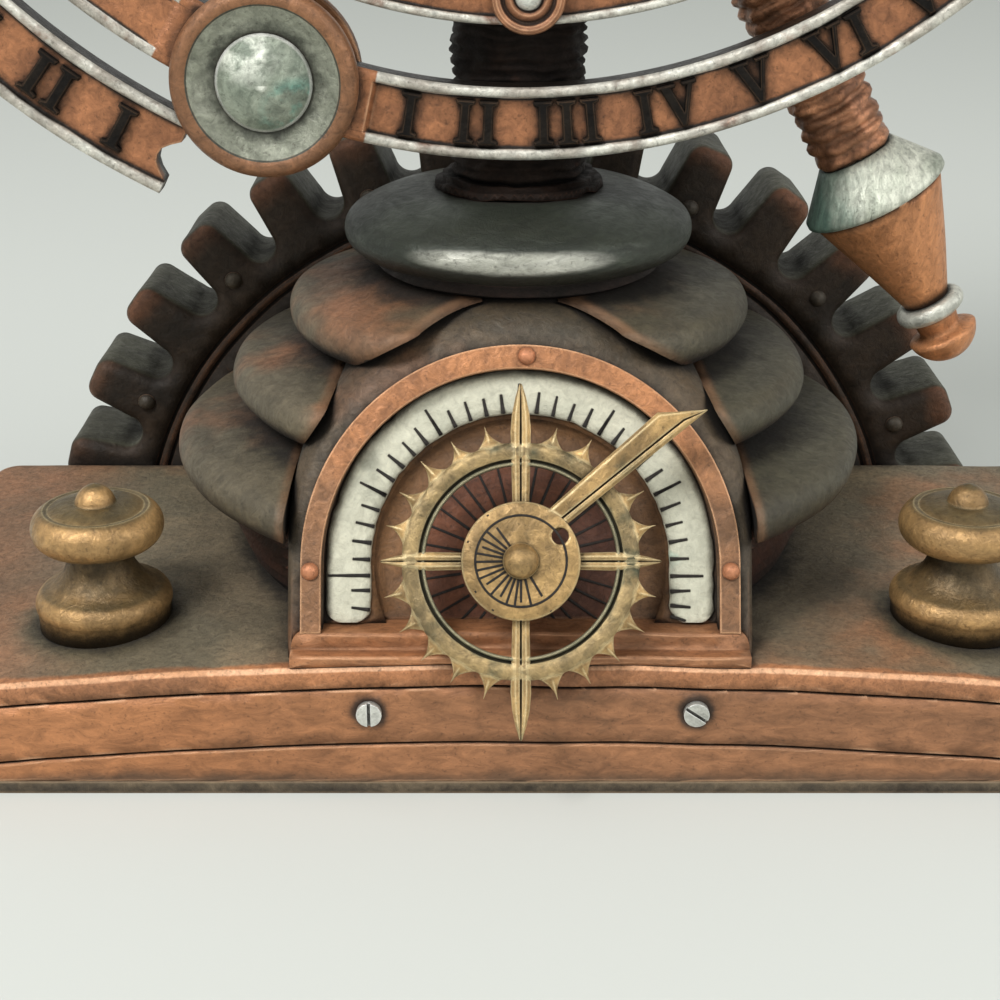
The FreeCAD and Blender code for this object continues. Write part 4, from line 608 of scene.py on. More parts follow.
def facePlace(origin, normal):
    # local frame of a face: x stays level, z comes out of the face
    out = Vector(normal).normalized()
    across = Vector((1.0, 0.0, 0.0))
    up = out.cross(across)
    place = Matrix((across, up, out)).transposed().to_4x4()
    place.translation = Vector(origin)
    return place


def polar(radius, degrees):
    # degrees from straight down, towards the left
    angle = math.radians(degrees)
    return -radius * math.sin(angle), -radius * math.cos(angle)


def wobble(x, y, z, scale, amount):
    # smooth noise, the same on each run
    return noise.noise(Vector((x, y, z)) * scale) * amount


def finishMesh(mesh, sharpAngle):
    # outward faces and smooth shading between sharp edges
    net = bmesh.new()
    net.from_mesh(mesh)
    bmesh.ops.recalc_face_normals(net, faces=net.faces)
    net.to_mesh(mesh)
    net.free()
    mesh.shade_smooth()
    mesh.set_sharp_from_angle(angle=math.radians(sharpAngle))


def newPiece(name, verts, faces, material, place=None, masks=None, sharpAngle=38.0):
    # millimetres in the local frame become metres in the CAD's frame
    mesh = bpy.data.meshes.new(name)
    mesh.from_pydata([Vector(v) * mm for v in verts], [], faces)
    for maskName, values in (masks or {}).items():
        layer = mesh.attributes.new(maskName, "FLOAT", "POINT")
        layer.data.foreach_set("value", values)
    finishMesh(mesh, sharpAngle)
    if place:
        mesh.transform(place)
    mesh.materials.append(material)
    thing = bpy.data.objects.new(name, mesh)
    bpy.context.scene.collection.objects.link(thing)
    return thing


def joined(name, things):
    # one mesh from several pieces of the same place and frame
    net = bmesh.new()
    slots = []
    for thing in things:
        first = len(net.faces)
        net.from_mesh(thing.data)
        net.faces.ensure_lookup_table()
        indices = []
        for material in thing.data.materials:
            if material not in slots:
                slots.append(material)
            indices.append(slots.index(material))
        for face in net.faces[first:]:
            face.material_index = indices[face.material_index]
    mesh = bpy.data.meshes.new(name)
    net.to_mesh(mesh)
    net.free()
    for material in slots:
        mesh.materials.append(material)
    for thing in things:
        bpy.data.objects.remove(thing)
    result = bpy.data.objects.new(name, mesh)
    bpy.context.scene.collection.objects.link(result)
    return result


def settle(thing, body, slot, *nodes):
    # a finished piece goes on its body, in place of the nodes named
    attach(thing, body)
    if nodes:
        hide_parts(*nodes)
    return thing


def sweep(name, sections, closed, material, place, sharpAngle=38.0, cap=None):
    # sections: loops of (x, y, z, floor, side) with equally many points; cap: faces that close one section
    verts = [point[:3] for section in sections for point in section]
    floor = [point[3] for section in sections for point in section]
    side = [point[4] for section in sections for point in section]
    count = len(sections[0])
    faces = []
    last = len(sections) if closed else len(sections) - 1
    for k in range(last):
        low = k * count
        high = (k + 1) % len(sections) * count
        for i in range(count):
            j = (i + 1) % count
            faces.append((low + i, low + j, high + j, high + i))
    if not closed:
        for corners in cap or [range(count)]:
            faces.append(tuple(corners)[::-1])
            faces.append(tuple((len(sections) - 1) * count + index for index in corners))
    masks = {"floor": floor, "side": side}
    return newPiece(name, verts, faces, material, place, masks, sharpAngle)


def around(profile, degrees):
    # a profile of (radius, height, floor, side) set at one angle
    section = []
    for radius, height, floor, side in profile:
        x, y = polar(radius, degrees)
        section.append((x, y, height, floor, side))
    return section


def lathe(name, profile, material, place, segments=96, centre=(0.0, 0.0), closed=False, sharpAngle=38.0):
    # turned about the local z from points of (radius, height, floor, side), where side may be left out;
    # an open profile starts and ends on the axis
    verts = []
    floor = []
    side = []
    rings = []
    for radius, height, *masks in profile:
        start = len(verts)
        onAxis = radius < 1e-6
        many = 1 if onAxis else segments
        floor += [masks[0]] * many
        side += [masks[1] if len(masks) > 1 else 0.0] * many
        if onAxis:
            verts.append((centre[0], centre[1], height))
            rings.append([start] * segments)
            continue
        for k in range(segments):
            angle = 2.0 * math.pi * k / segments
            x = centre[0] + radius * math.cos(angle)
            y = centre[1] + radius * math.sin(angle)
            verts.append((x, y, height))
        rings.append(list(range(start, start + segments)))
    faces = []
    pairs = list(zip(rings, rings[1:]))
    if closed:
        pairs.append((rings[-1], rings[0]))
    for low, high in pairs:
        for k in range(segments):
            n = (k + 1) % segments
            corners = []
            for index in (low[k], low[n], high[n], high[k]):
                if index not in corners:
                    corners.append(index)
            if len(corners) > 2:
                faces.append(tuple(corners))
    masks = {"floor": floor, "side": side}
    return newPiece(name, verts, faces, material, place, masks, sharpAngle)


def plateFrom(name, outline, low, high, chamfer, material, place=None, bend=None):
    # an outline raised from low to high with a chamfered top; bend moves each point
    net = bmesh.new()
    bottom = net.faces.new([net.verts.new((x, y, low)) for x, y in outline])
    raised = bmesh.ops.extrude_face_region(net, geom=[bottom])
    moved = [v for v in raised["geom"] if isinstance(v, bmesh.types.BMVert)]
    top = [f for f in raised["geom"] if isinstance(f, bmesh.types.BMFace)]
    bmesh.ops.translate(net, verts=moved, vec=(0.0, 0.0, high - chamfer - low))
    if chamfer:
        bmesh.ops.recalc_face_normals(net, faces=net.faces)
        bmesh.ops.inset_individual(net, faces=top, thickness=chamfer, depth=chamfer)
    bmesh.ops.recalc_face_normals(net, faces=net.faces)
    bmesh.ops.triangulate(net, faces=[f for f in net.faces if len(f.verts) > 4])
    verts = [bend(v.co) if bend else tuple(v.co) for v in net.verts]
    faces = [tuple(v.index for v in f.verts) for f in net.faces]
    net.free()
    return newPiece(name, verts, faces, material, place, None, 30.0)


# the hand that shaped it: one slow drift for all the still pieces, so that they keep touching

# amount and longest edge in millimetres, scale per metre; the seed makes the drift the same in every run
hand = {"scale": 70.0, "amount": 0.28, "longest": 4.0, "passes": 7, "levelBelow": 6.0, "seed": 7}
noise.seed_set(hand["seed"])
ribbed = {"scale": 330.0, "amount": 0.6, "longest": 2.0}
weldDistance = 1e-6


def drifted(co, amount, scale):
    # a point moved by the drift, less near the floor and never out of the CAD's box
    settled = min(1.0, max(0.0, co.z / mm / hand["levelBelow"]))
    moved = co + noise.noise_vector(co * scale) * amount * mm * settled
    return Vector([min(max(value, low), high) for value, low, high in zip(moved, *cadBox)])


def mergedCopy(node):
    # a CAD node's own mesh as a bmesh, its loose triangles joined
    mesh = cadNodes[node].data.copy()
    net = bmesh.new()
    net.from_mesh(mesh)
    bmesh.ops.remove_doubles(net, verts=net.verts, dist=weldDistance)
    return mesh, net


def shapedThing(name, mesh, net, sharpAngle):
    net.to_mesh(mesh)
    net.free()
    mesh.shade_smooth()
    mesh.set_sharp_from_angle(angle=math.radians(sharpAngle))
    thing = bpy.data.objects.new(name, mesh)
    bpy.context.scene.collection.objects.link(thing)
    return thing


def workByHand(net, amount, scale, longest):
    # long edges are cut until the drift can bend the faces
    for step in range(hand["passes"]):
        bmesh.ops.triangulate(net, faces=net.faces)
        long = [edge for edge in net.edges if edge.calc_length() > longest * mm]
        if not long:
            break
        bmesh.ops.subdivide_edges(net, edges=long, cuts=1)
    bmesh.ops.triangulate(net, faces=net.faces)
    for vert in net.verts:
        vert.co = drifted(vert.co, amount, scale)


def handWorked(node, amount=hand["amount"], scale=hand["scale"], longest=hand["longest"]):
    # a merged copy of a CAD node, slightly uneven
    mesh, net = mergedCopy(node)
    workByHand(net, amount, scale, longest)
    thing = shapedThing(node + "_worked", mesh, net, 32.0)
    return settle(thing, bodyOf[node], nodeInfo[node]["material_slot"], node)


def softened(node, width, segments, chosen, sharpAngle=30.0):
    # a merged and uneven copy of a CAD node with chosen sharp edges rounded over
    mesh, net = mergedCopy(node)
    bmesh.ops.dissolve_limit(net, angle_limit=math.radians(2.0), verts=net.verts, edges=net.edges)
    edges = []
    for edge in net.edges:
        sharp = len(edge.link_faces) == 2 and edge.calc_face_angle(0.0) > math.radians(sharpAngle)
        if sharp and chosen(edge):
            edges.append(edge)
    bmesh.ops.bevel(net, geom=edges, offset=width * mm, segments=segments, profile=0.5, affect="EDGES",
                    clamp_overlap=True)
    workByHand(net, hand["amount"], hand["scale"], hand["longest"])
    thing = shapedThing(node + "_soft", mesh, net, 40.0)
    return settle(thing, bodyOf[node], nodeInfo[node]["material_slot"], node)


# copies of one piece round a circle, as geometry nodes

def makeCopiesTree():
    tree = bpy.data.node_groups.new("ringOfCopies", "GeometryNodeTree")
    sockets = [("Piece", "NodeSocketObject", None), ("Count", "NodeSocketInt", 12),
               ("Radius", "NodeSocketFloat", 0.01), ("First Angle", "NodeSocketFloat", 0.0),
               ("Step Angle", "NodeSocketFloat", 0.1), ("Turn Jitter", "NodeSocketFloat", 0.0),
               ("Size Jitter", "NodeSocketFloat", 0.0), ("Seed", "NodeSocketInt", 7),
               ("Material", "NodeSocketMaterial", None)]
    for label, kind, value in sockets:
        socket = tree.interface.new_socket(label, in_out="INPUT", socket_type=kind)
        if value is not None:
            socket.default_value = value
    tree.interface.new_socket("Geometry", in_out="OUTPUT", socket_type="NodeSocketGeometry")
    start = tree.nodes.new("NodeGroupInput").outputs
    end = tree.nodes.new("NodeGroupOutput").inputs

    index = addNode(tree, "GeometryNodeInputIndex").outputs[0]
    angle = mathNode(tree, "MULTIPLY_ADD", index, start["Step Angle"], start["First Angle"])
    spot = addNode(tree, "ShaderNodeCombineXYZ")
    feed(tree, spot.inputs["X"], mathNode(tree, "MULTIPLY", mathNode(tree, "COSINE", angle), start["Radius"]))
    feed(tree, spot.inputs["Y"], mathNode(tree, "MULTIPLY", mathNode(tree, "SINE", angle), start["Radius"]))
    line = addNode(tree, "GeometryNodeMeshLine")
    feed(tree, line.inputs["Count"], start["Count"])
    points = addNode(tree, "GeometryNodeSetPosition")
    feed(tree, points.inputs["Geometry"], line.outputs["Mesh"])
    feed(tree, points.inputs["Position"], spot.outputs[0])

    def scatter(amount, seedShift, middleValue):
        dice = addNode(tree, "FunctionNodeRandomValue", data_type="FLOAT")
        ports = {socket.identifier: socket for socket in dice.inputs}
        feed(tree, ports["Min_001"], mathNode(tree, "SUBTRACT", middleValue, amount))
        feed(tree, ports["Max_001"], mathNode(tree, "ADD", middleValue, amount))
        feed(tree, ports["Seed"], mathNode(tree, "ADD", start["Seed"], seedShift))
        return {socket.identifier: socket for socket in dice.outputs}["Value_001"]

    turn = addNode(tree, "ShaderNodeCombineXYZ")
    feed(tree, turn.inputs["Z"], mathNode(tree, "ADD", angle, scatter(start["Turn Jitter"], 0.0, 0.0)))
    size = addNode(tree, "ShaderNodeCombineXYZ")
    feed(tree, size.inputs["X"], scatter(start["Size Jitter"], 11.0, 1.0))
    feed(tree, size.inputs["Y"], scatter(start["Size Jitter"], 23.0, 1.0))
    size.inputs["Z"].default_value = 1.0
    piece = addNode(tree, "GeometryNodeObjectInfo")
    feed(tree, piece.inputs["Object"], start["Piece"])
    copies = addNode(tree, "GeometryNodeInstanceOnPoints")
    feed(tree, copies.inputs["Points"], points.outputs["Geometry"])
    feed(tree, copies.inputs["Instance"], piece.outputs["Geometry"])
    feed(tree, copies.inputs["Rotation"], turn.outputs[0])
    feed(tree, copies.inputs["Scale"], size.outputs[0])
    real = addNode(tree, "GeometryNodeRealizeInstances")
    feed(tree, real.inputs["Geometry"], copies.outputs["Instances"])
    dressed = addNode(tree, "GeometryNodeSetMaterial")
    feed(tree, dressed.inputs["Geometry"], real.outputs["Geometry"])
    feed(tree, dressed.inputs["Material"], start["Material"])
    feed(tree, end["Geometry"], dressed.outputs["Geometry"])
    return tree


copiesTree = makeCopiesTree()


def ringOfCopies(name, pattern, count, radius, firstDeg, stepDeg, material, place, turnJitter=0.0,
                 sizeJitter=0.0, seed=7):
    # the pattern is drawn at the origin with its x pointing away from the centre; it is used up
    holder = bpy.data.objects.new(name, bpy.data.meshes.new(name))
    bpy.context.scene.collection.objects.link(holder)
    grow = holder.modifiers.new("copies", "NODES")
    grow.node_group = copiesTree
    values = {"Piece": pattern, "Count": count, "Radius": radius * mm, "First Angle": math.radians(firstDeg),
              "Step Angle": math.radians(stepDeg), "Turn Jitter": math.radians(turnJitter),
              "Size Jitter": sizeJitter, "Seed": seed, "Material": material}
    for item in copiesTree.interface.items_tree:
        if item.in_out == "INPUT":
            grow[item.identifier] = values[item.name]
    graph = bpy.context.evaluated_depsgraph_get()
    mesh = bpy.data.meshes.new_from_object(holder.evaluated_get(graph))
    holder.modifiers.remove(grow)
    mesh.transform(place)
    holder.data = mesh
    bpy.data.objects.remove(pattern)
    return holder


# numerals

strokeSerif = 0.09      # height of a serif, in letter heights
strokeTop = 1.0 - strokeSerif
serifSlope = 0.04      # rise of a serif's curve into the stem


def crossing(a, b, c, d):
    # where the line a-b meets the line c-d
    across = (b[0] - a[0]) * (d[1] - c[1]) - (b[1] - a[1]) * (d[0] - c[0])
    share = ((c[0] - a[0]) * (d[1] - c[1]) - (c[1] - a[1]) * (d[0] - c[0])) / across
    return a[0] + (b[0] - a[0]) * share, a[1] + (b[1] - a[1]) * share


def letterOutline(letter):
    # width and corners of a bold I, V or X one unit high
    low, high = strokeSerif, strokeTop
    if letter == "I":
        stemLow, stemHigh = low + serifSlope, high - serifSlope
        return 0.46, [(0, 0), (0.46, 0), (0.46, low), (0.35, stemLow), (0.35, stemHigh), (0.46, high),
                      (0.46, 1), (0, 1), (0, high), (0.11, stemHigh), (0.11, stemLow), (0, low)]
    if letter == "V":
        return 0.97, [(0.43, 0), (0.56, 0), (0.86, high), (0.97, high), (0.97, 1), (0.61, 1), (0.61, high),
                      (0.73, high), (0.55, 0.33), (0.35, high), (0.45, high), (0.45, 1), (0, 1), (0, high),
                      (0.09, high)]
    thickLeft = ((0.09, high), (0.62, low))
    thickRight = ((0.36, high), (0.89, low))
    thinLeft = ((0.11, low), (0.73, high))
    thinRight = ((0.24, low), (0.86, high))
    below = crossing(*thickLeft, *thinRight)
    above = crossing(*thickRight, *thinLeft)
    rightOf = crossing(*thickRight, *thinRight)
    leftOf = crossing(*thickLeft, *thinLeft)
    return 1.0, [(0, 0), (0.36, 0), (0.36, low), thinRight[0], below, thickLeft[1], (0.52, low), (0.52, 0),
                 (1.0, 0), (1.0, low), thickRight[1], rightOf, thinRight[1], (0.98, high), (0.98, 1),
                 (0.61, 1), (0.61, high), thinLeft[1], above, thickRight[0], (0.46, high), (0.46, 1),
                 (0, 1), (0, high), thickLeft[0], leftOf, thinLeft[0], (0, low)]


def numeralRow(name, numerals, look, fromDeg, toDeg, topsIn, material, place):
    # numerals spread evenly along an arc, each bent to it
    height, low, high, base = look["height"], look["low"], look["high"], look["baseRadius"]
    gap = look["letterGap"] * height
    widths = []
    for numeral in numerals:
        strokes = sum(letterOutline(c)[0] * height * look["stretch"] for c in numeral)
        widths.append(strokes + gap * (len(numeral) - 1))
    length = math.radians(abs(toDeg - fromDeg)) * base
    space = (length - sum(widths)) / len(numerals)
    sign = -1.0 if topsIn else 1.0
    travelled = space / 2
    letters = []
    for numeral, width in zip(numerals, widths):
        for c in numeral:
            letterWidth, outline = letterOutline(c)

            def bend(point, start=travelled):
                degrees = fromDeg + sign * math.degrees((start + point.x) / base)
                radius = base + sign * point.y
                return polar(radius, degrees) + (point.z,)

            sized = [(x * height * look["stretch"], y * height) for x, y in outline]
            letters.append(plateFrom(name, sized, low, high, look["chamfer"], material, place, bend))
            travelled += letterWidth * height * look["stretch"] + gap
        travelled += space - gap
    return joined(name, letters)


print("shape helpers ready")


# the rings: two rims with a lowered floor between them

ringFrame = facePlace((ringCentre.x, ringBackY, ringCentre.z), frontY)
ringDepth = (ringBackY - ringFrontY) / mm


def outerRadius(node):
    low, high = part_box(node)
    return (high.x - low.x) / 2 / mm


mainRadius = outerRadius("main_ring")
innerRadius = outerRadius("inner_ring")
floorDrop = 1.2
shallowDrop = 0.48
# a panel of the main ring is (first degree, last degree, depth of its floor)
rings = {
    "stations": 480, "panelRamp": 0.45, "floorSteps": 8, "handWobble": 0.22, "backBevel": 0.3,
    "mainWidth": 10.1, "mainRim": 1.65, "innerWidth": 8.0, "innerRim": 1.2,
    "mainPanels": [(-118.0, 13.2, floorDrop), (31.1, 129.0, shallowDrop), (147.0, 235.0, floorDrop)],
    "arcInner": mainRadius + 5.0, "arcWidth": 11.7, "arcFrom": 26.5, "arcTo": 133.6, "arcRim": 1.65,
    "biteIn": 6.8, "biteRadius": 2.4, "biteFade": 5.0,
}


def panelDrop(degrees, panels):
    # depth of the floor at an angle, with a short slope at each panel's ends
    best = 0.0
    for start, stop, drop in panels:
        inside = min(degrees - start, stop - degrees) / rings["panelRamp"]
        best = max(best, drop * min(1.0, max(0.0, inside)))
    return best


# the rounded top of a rim, from its wall to its floor: (share of the rim's width, fall, side mask)
rimBead = [(0.0, 0.62, 1.0), (0.02, 0.5, 0.0), (0.14, 0.2, 0.0), (0.36, 0.04, 0.0), (0.64, 0.04, 0.0),
           (0.86, 0.2, 0.0), (0.97, 0.5, 0.55)]
rimCrown = 0.8      # height of the bead, in widths of the rim


def beadFall(across, fall, rim, drop):
    # on the floor's side, the bead goes no deeper than the floor
    sunk = fall * rim * rimCrown
    return min(sunk, drop) if across > 0.5 else sunk


def channelProfile(outer, width, rim, drop, degrees, seed):
    # loop of (radius, height, floor, side) from the outer wall over both rims to the inner wall
    inner = outer - width
    x, y = polar(outer, degrees)
    waver = rings["handWobble"]
    rimOut = rim + wobble(x, y, seed, 0.11, waver)
    rimIn = rim + wobble(x, y, seed + 40.0, 0.11, waver)
    dipOut = abs(wobble(x, y, seed + 80.0, 0.08, waver))
    dipIn = abs(wobble(x, y, seed + 120.0, 0.08, waver))
    top = ringDepth
    flush = 1.0 - min(1.0, drop / shallowDrop)
    loop = []
    for across, fall, side in rimBead:
        height = top - dipOut - beadFall(across, fall, rim, drop)
        loop.append((outer - across * rimOut, height, flush, side))
    steps = rings["floorSteps"]
    for k in range(steps + 1):
        share = k / steps
        radius = (outer - rimOut) * (1.0 - share) + (inner + rimIn) * share
        ripple = wobble(x * 1.7, y * 1.7, seed + 9.0 * k, 0.2, 0.16) if 0 < k < steps else 0.0
        corner = 0.75 if k in (0, steps) and not flush else 0.0
        height = top - (dipOut * (1 - share) + dipIn * share) - drop + ripple * drop
        loop.append((radius, height, 1.0, corner))
    for across, fall, side in reversed(rimBead):
        height = top - dipIn - beadFall(across, fall, rim, drop)
        loop.append((inner + across * rimIn, height, flush, side))
    # the back has a point behind each of the front's, and bevelled edges
    bevel = rings["backBevel"]
    back = []
    for point in reversed(loop):
        share = (point[0] - inner) / width
        back.append((inner + bevel + share * (width - 2 * bevel), 0.0, 0.0, 1.0))
    return back + [(outer, bevel, 0.0, 1.0)] + loop + [(inner, bevel, 0.0, 1.0)]


def closedRing(name, outer, width, rim, panels, seed):
    # a ring with no panels has one floor all round
    angles = [360.0 * k / rings["stations"] for k in range(rings["stations"])]
    for start, stop, depth in panels:
        for edge in (start, start + rings["panelRamp"], stop - rings["panelRamp"], stop):
            angles.append(edge % 360.0)
    sections = []
    for degrees in sorted(set(angles)):
        drop = floorDrop
        if panels:
            drop = max(panelDrop(degrees, panels), panelDrop(degrees - 360.0, panels))
        sections.append(around(channelProfile(outer, width, rim, drop, degrees, seed), degrees))
    return sweep(name, sections, True, ringFinish, ringFrame)


mainRing = closedRing("main_ring_band", mainRadius, rings["mainWidth"], rings["mainRim"],
                      rings["mainPanels"], 3.0)
innerRing = closedRing("inner_ring_band", innerRadius, rings["innerWidth"], rings["innerRim"], [], 211.0)


def makeOuterArc():
    # the arc's ends are bitten out between the floor's middle and the outer rim
    outer = rings["arcInner"] + rings["arcWidth"]
    first, last = rings["arcFrom"], rings["arcTo"]
    middleRadius = rings["arcInner"] + rings["biteIn"]
    bite = rings["biteRadius"]
    step = 360.0 / rings["stations"]
    count = int((last - first) / step)
    fade = rings["biteFade"]
    sections = []
    for k in range(count + 1):
        degrees = first + (last - first) * k / count
        section = []
        profile = channelProfile(outer, rings["arcWidth"], rings["arcRim"], floorDrop, degrees, 307.0)
        for radius, height, floor, side in profile:
            reach = math.sqrt(max(0.0, bite ** 2 - (radius - middleRadius) ** 2))
            away = math.degrees(reach / radius)
            fromStart = away * max(0.0, 1 - (degrees - first) / fade)
            fromEnd = away * max(0.0, 1 - (last - degrees) / fade)
            x, y = polar(radius, degrees + fromStart - fromEnd)
            section.append((x, y, height, floor, side))
        sections.append(section)
    # an end is closed by a strip of faces between the front's points and the back's
    front = len(sections[0]) // 2 - 1
    cap = [(front - 1, front, front + 1), (2 * front, 2 * front + 1, 0)]
    for k in range(front - 1):
        cap.append((k, k + 1, 2 * front - 1 - k, 2 * front - k))
    return sweep("outer_arc_band", sections, False, ringFinish, ringFrame, cap=cap)


outerArc = makeOuterArc()
settle(mainRing, bodyOf["main_ring"], "antique_silver", "main_ring")
settle(innerRing, bodyOf["inner_ring"], "antique_silver", "inner_ring")
settle(outerArc, bodyOf["outer_arc"], "antique_silver", "outer_arc")

numbers = ["I", "II", "III", "IV", "V", "VI", "VII", "VIII", "IX", "X", "XI", "XII", "XIII", "XIV"]
letterLook = {"height": 6.1, "stretch": 1.0, "letterGap": 0.1, "chamfer": 0.22,
              "low": ringDepth - floorDrop - 0.4, "high": ringDepth - 0.2}
mainLetters = dict(letterLook, baseRadius=mainRadius - 2.0)
arcLetters = dict(letterLook, baseRadius=rings["arcInner"] + 2.7, height=6.4)
upperLetters = dict(letterLook, baseRadius=mainRadius - rings["mainWidth"] + 2.0)
rows = [
    numeralRow("lowerNumbers", numbers, mainLetters, 12.0, -117.0, True, letterInk, ringFrame),
    numeralRow("upperNumbers", numbers[:9], upperLetters, 148.5, 233.5, False, letterInk, ringFrame),
    numeralRow("arcNumbers", numbers[:12], arcLetters, 28.5, 132.0, False, letterInk, ringFrame),
]
settle(joined("ring_numbers", rows), bodyOf["main_ring"], "dark_hand")

# beads on the inner ring's floor, half a step to each side of its lowest point

beadLook = {"count": 80, "profile": [(0.0, 0.5, 1), (0.62, 0.34, 1), (0.75, 0.0, 1), (0.0, 0.0, 1)],
            "sizeJitter": 0.12, "seed": 21}
beadPattern = lathe("beadPattern", beadLook["profile"], plainSteel, None, 12)
beadStep = 360.0 / beadLook["count"]
beadFrame = facePlace((ringCentre.x, ringFrontY + floorDrop * mm, ringCentre.z), frontY)
beads = ringOfCopies("inner_ring_beads", beadPattern, beadLook["count"],
                     innerRadius - rings["innerWidth"] / 2, -90.0 + beadStep / 2, beadStep, plainSteel,
                     beadFrame, 0.0, beadLook["sizeJitter"], beadLook["seed"])
settle(beads, bodyOf["inner_ring"], "antique_silver")
print("rings swept and numbered")

# bosses on the main ring: a copper ring round a silver dish, as (radius, height, floor, side)

bosses = {
    "degrees": [22.1, 138.0], "at": mainRadius - 4.3, "segments": 96,
    "profile": [(1.6, 0.0, 0), (12.2, 0.0, 0), (12.9, 0.5, 0), (12.9, 2.3, 0), (12.5, 3.05, 0),
                (11.9, 3.5, 0), (11.3, 3.6, 0), (10.75, 3.45, 0), (10.5, 3.25, 0, 1), (10.3, 3.1, 1),
                (9.9, 2.95, 1), (9.2, 2.5, 1, 0.22), (8.6, 2.2, 1, 0.36), (7.9, 1.9, 1, 0.48),
                (7.2, 1.75, 1, 0.6), (6.9, 1.65, 1, 0.66), (6.6, 1.62, 1, 0.7), (1.6, 1.62, 1)],
}


def raised(profile, base):
    return [(radius, base + height, *masks) for radius, height, *masks in profile]


def makeBossShells():
    shells = []
    for degrees in bosses["degrees"]:
        shells.append(lathe("bossShell", raised(bosses["profile"], ringDepth), bossFinish, ringFrame,
                            bosses["segments"], polar(bosses["at"], degrees), True))
    return settle(joined("boss_shell_pair", shells), bodyOf["boss_shells"], "copper_paint", "boss_shells")


makeBossShells()
paintNode("boss_domes", bossDomeFinish)

# studs on the inner ring: two copper rings round a silver pin
studs = {
    "at": innerRadius - 4.0, "degrees": [-0.8, 90.0, 180.0, 270.0], "segments": 48,
    "profile": [(0.0, 0.0, 0), (5.1, 0.0, 0), (5.1, 1.1, 0), (4.88, 1.58, 0), (4.4, 1.8, 0),
                (3.95, 1.6, 0), (3.72, 1.1, 0, 1), (3.45, 0.95, 0, 1), (3.2, 1.15, 0, 0.3),
                (2.9, 1.55, 0), (2.5, 1.66, 0), (2.15, 1.5, 0, 0.4), (1.95, 1.15, 0, 1), (1.8, 1.3, 1),
                (1.5, 1.95, 1), (0.9, 2.3, 1), (0.0, 2.4, 1)],
}


def makeStuds():
    things = []
    for degrees in studs["degrees"]:
        things.append(lathe("ringStud", raised(studs["profile"], ringDepth), studFinish, ringFrame,
                            studs["segments"], polar(studs["at"], degrees)))
    return settle(joined("inner_ring_stud_set", things), bodyOf["inner_ring_studs"], "antique_silver",
                  "inner_ring_studs")


makeStuds()
print("bosses turned")

# the half gear: its front edges are rounded over

gearLook = {"roundOver": 2.1, "segments": 5, "centreZ": 1.0, "fromRadius": 66.0}
smoothOnly = 0.001      # a drift too small to see, for a piece that only needs its facets smoothed


def gearFrontEdge(edge):
    ends = [vert.co for vert in edge.verts]
    front = all(abs(co.y - gearFrontY) < 0.2 * mm for co in ends)
    away = min(math.hypot(co.x, co.z - gearLook["centreZ"] * mm) for co in ends)
    return front and away > gearLook["fromRadius"] * mm


softened("gear_plate", gearLook["roundOver"], gearLook["segments"], gearFrontEdge)
for node in ("dome_foot", "dome_bellows", "dome_saucer_1", "dome_saucer_2", "dome_saucer_3", "dome_cap",
             "base_deck", "base_body", "front_band", "gauge_step", "post_bases", "rod_flange", "rod_cone",
             "rod_knob"):
    handWorked(node)
for node in ("column", "rod_neck"):
    handWorked(node, **ribbed)
handWorked("gauge_housing", smoothOnly)
print("half gear rounded over, still pieces worked by hand")

# the gauge: dial, ticks, floor lines, spiked wheel and pointer

gaugeFrame = facePlace(gaugeCentre, gaugeNormal)
dial = {
    "top": -1.0, "back": -1.8, "inner": 20.6, "outer": 27.0, "foot": -8.4, "round": 2.2, "arcStep": 3,
    "legRows": [0.05, 0.3, 0.7, 1.2, 1.8, 2.4, 3.6, 5.2, 6.8],
    "face": [(0.0, -1.45), (0.04, -1.12), (0.2, -1.0), (0.5, -1.03), (0.8, -1.0), (0.96, -1.12),
             (1.0, -1.45)],
}
# a tick on one of the dial's legs is (side, height, length, lean in degrees)
ticks = {
    "from": 20.75, "short": 2.7, "long": 4.1, "width": 0.5, "step": 6.35, "count": 29, "first": 1.2,
    "longCount": 5, "longEvery": 5, "firstLong": 4, "proud": 0.07, "sunk": 0.25, "taper": 0.6,
    "legs": [(1, -7.5, 2.2, -16), (1, -6.0, 2.8, -5), (1, -4.05, 2.8, 2), (1, -1.93, 4.6, 0),
             (-1, -6.6, 2.6, 7), (-1, -3.9, 2.6, 0), (-1, -1.85, 5.9, 0)],
}
floorLines = {"height": -2.8, "from": 8.4, "to": 15.8, "width": 0.36, "step": 11.0, "first": 4.0}


def inkBar(name, length, width):
    # a thin bar along x, from its own origin, that stands a little proud of what it marks
    root, end = width / 2, width / 2 * ticks["taper"]
    outline = [(0, -root), (length, -end), (length, end), (0, root)]
    return plateFrom(name, outline, -ticks["sunk"], ticks["proud"], 0.0, lineInk)


def atHeight(place, height):
    return place @ Matrix.Translation((0.0, 0.0, height * mm))


def dialPinch(away):
    # how far the band's edges draw in, this far from the end of a leg
    roundness = dial["round"]
    if away >= roundness:
        return 0.0
    return roundness - math.sqrt(roundness ** 2 - (roundness - away) ** 2)


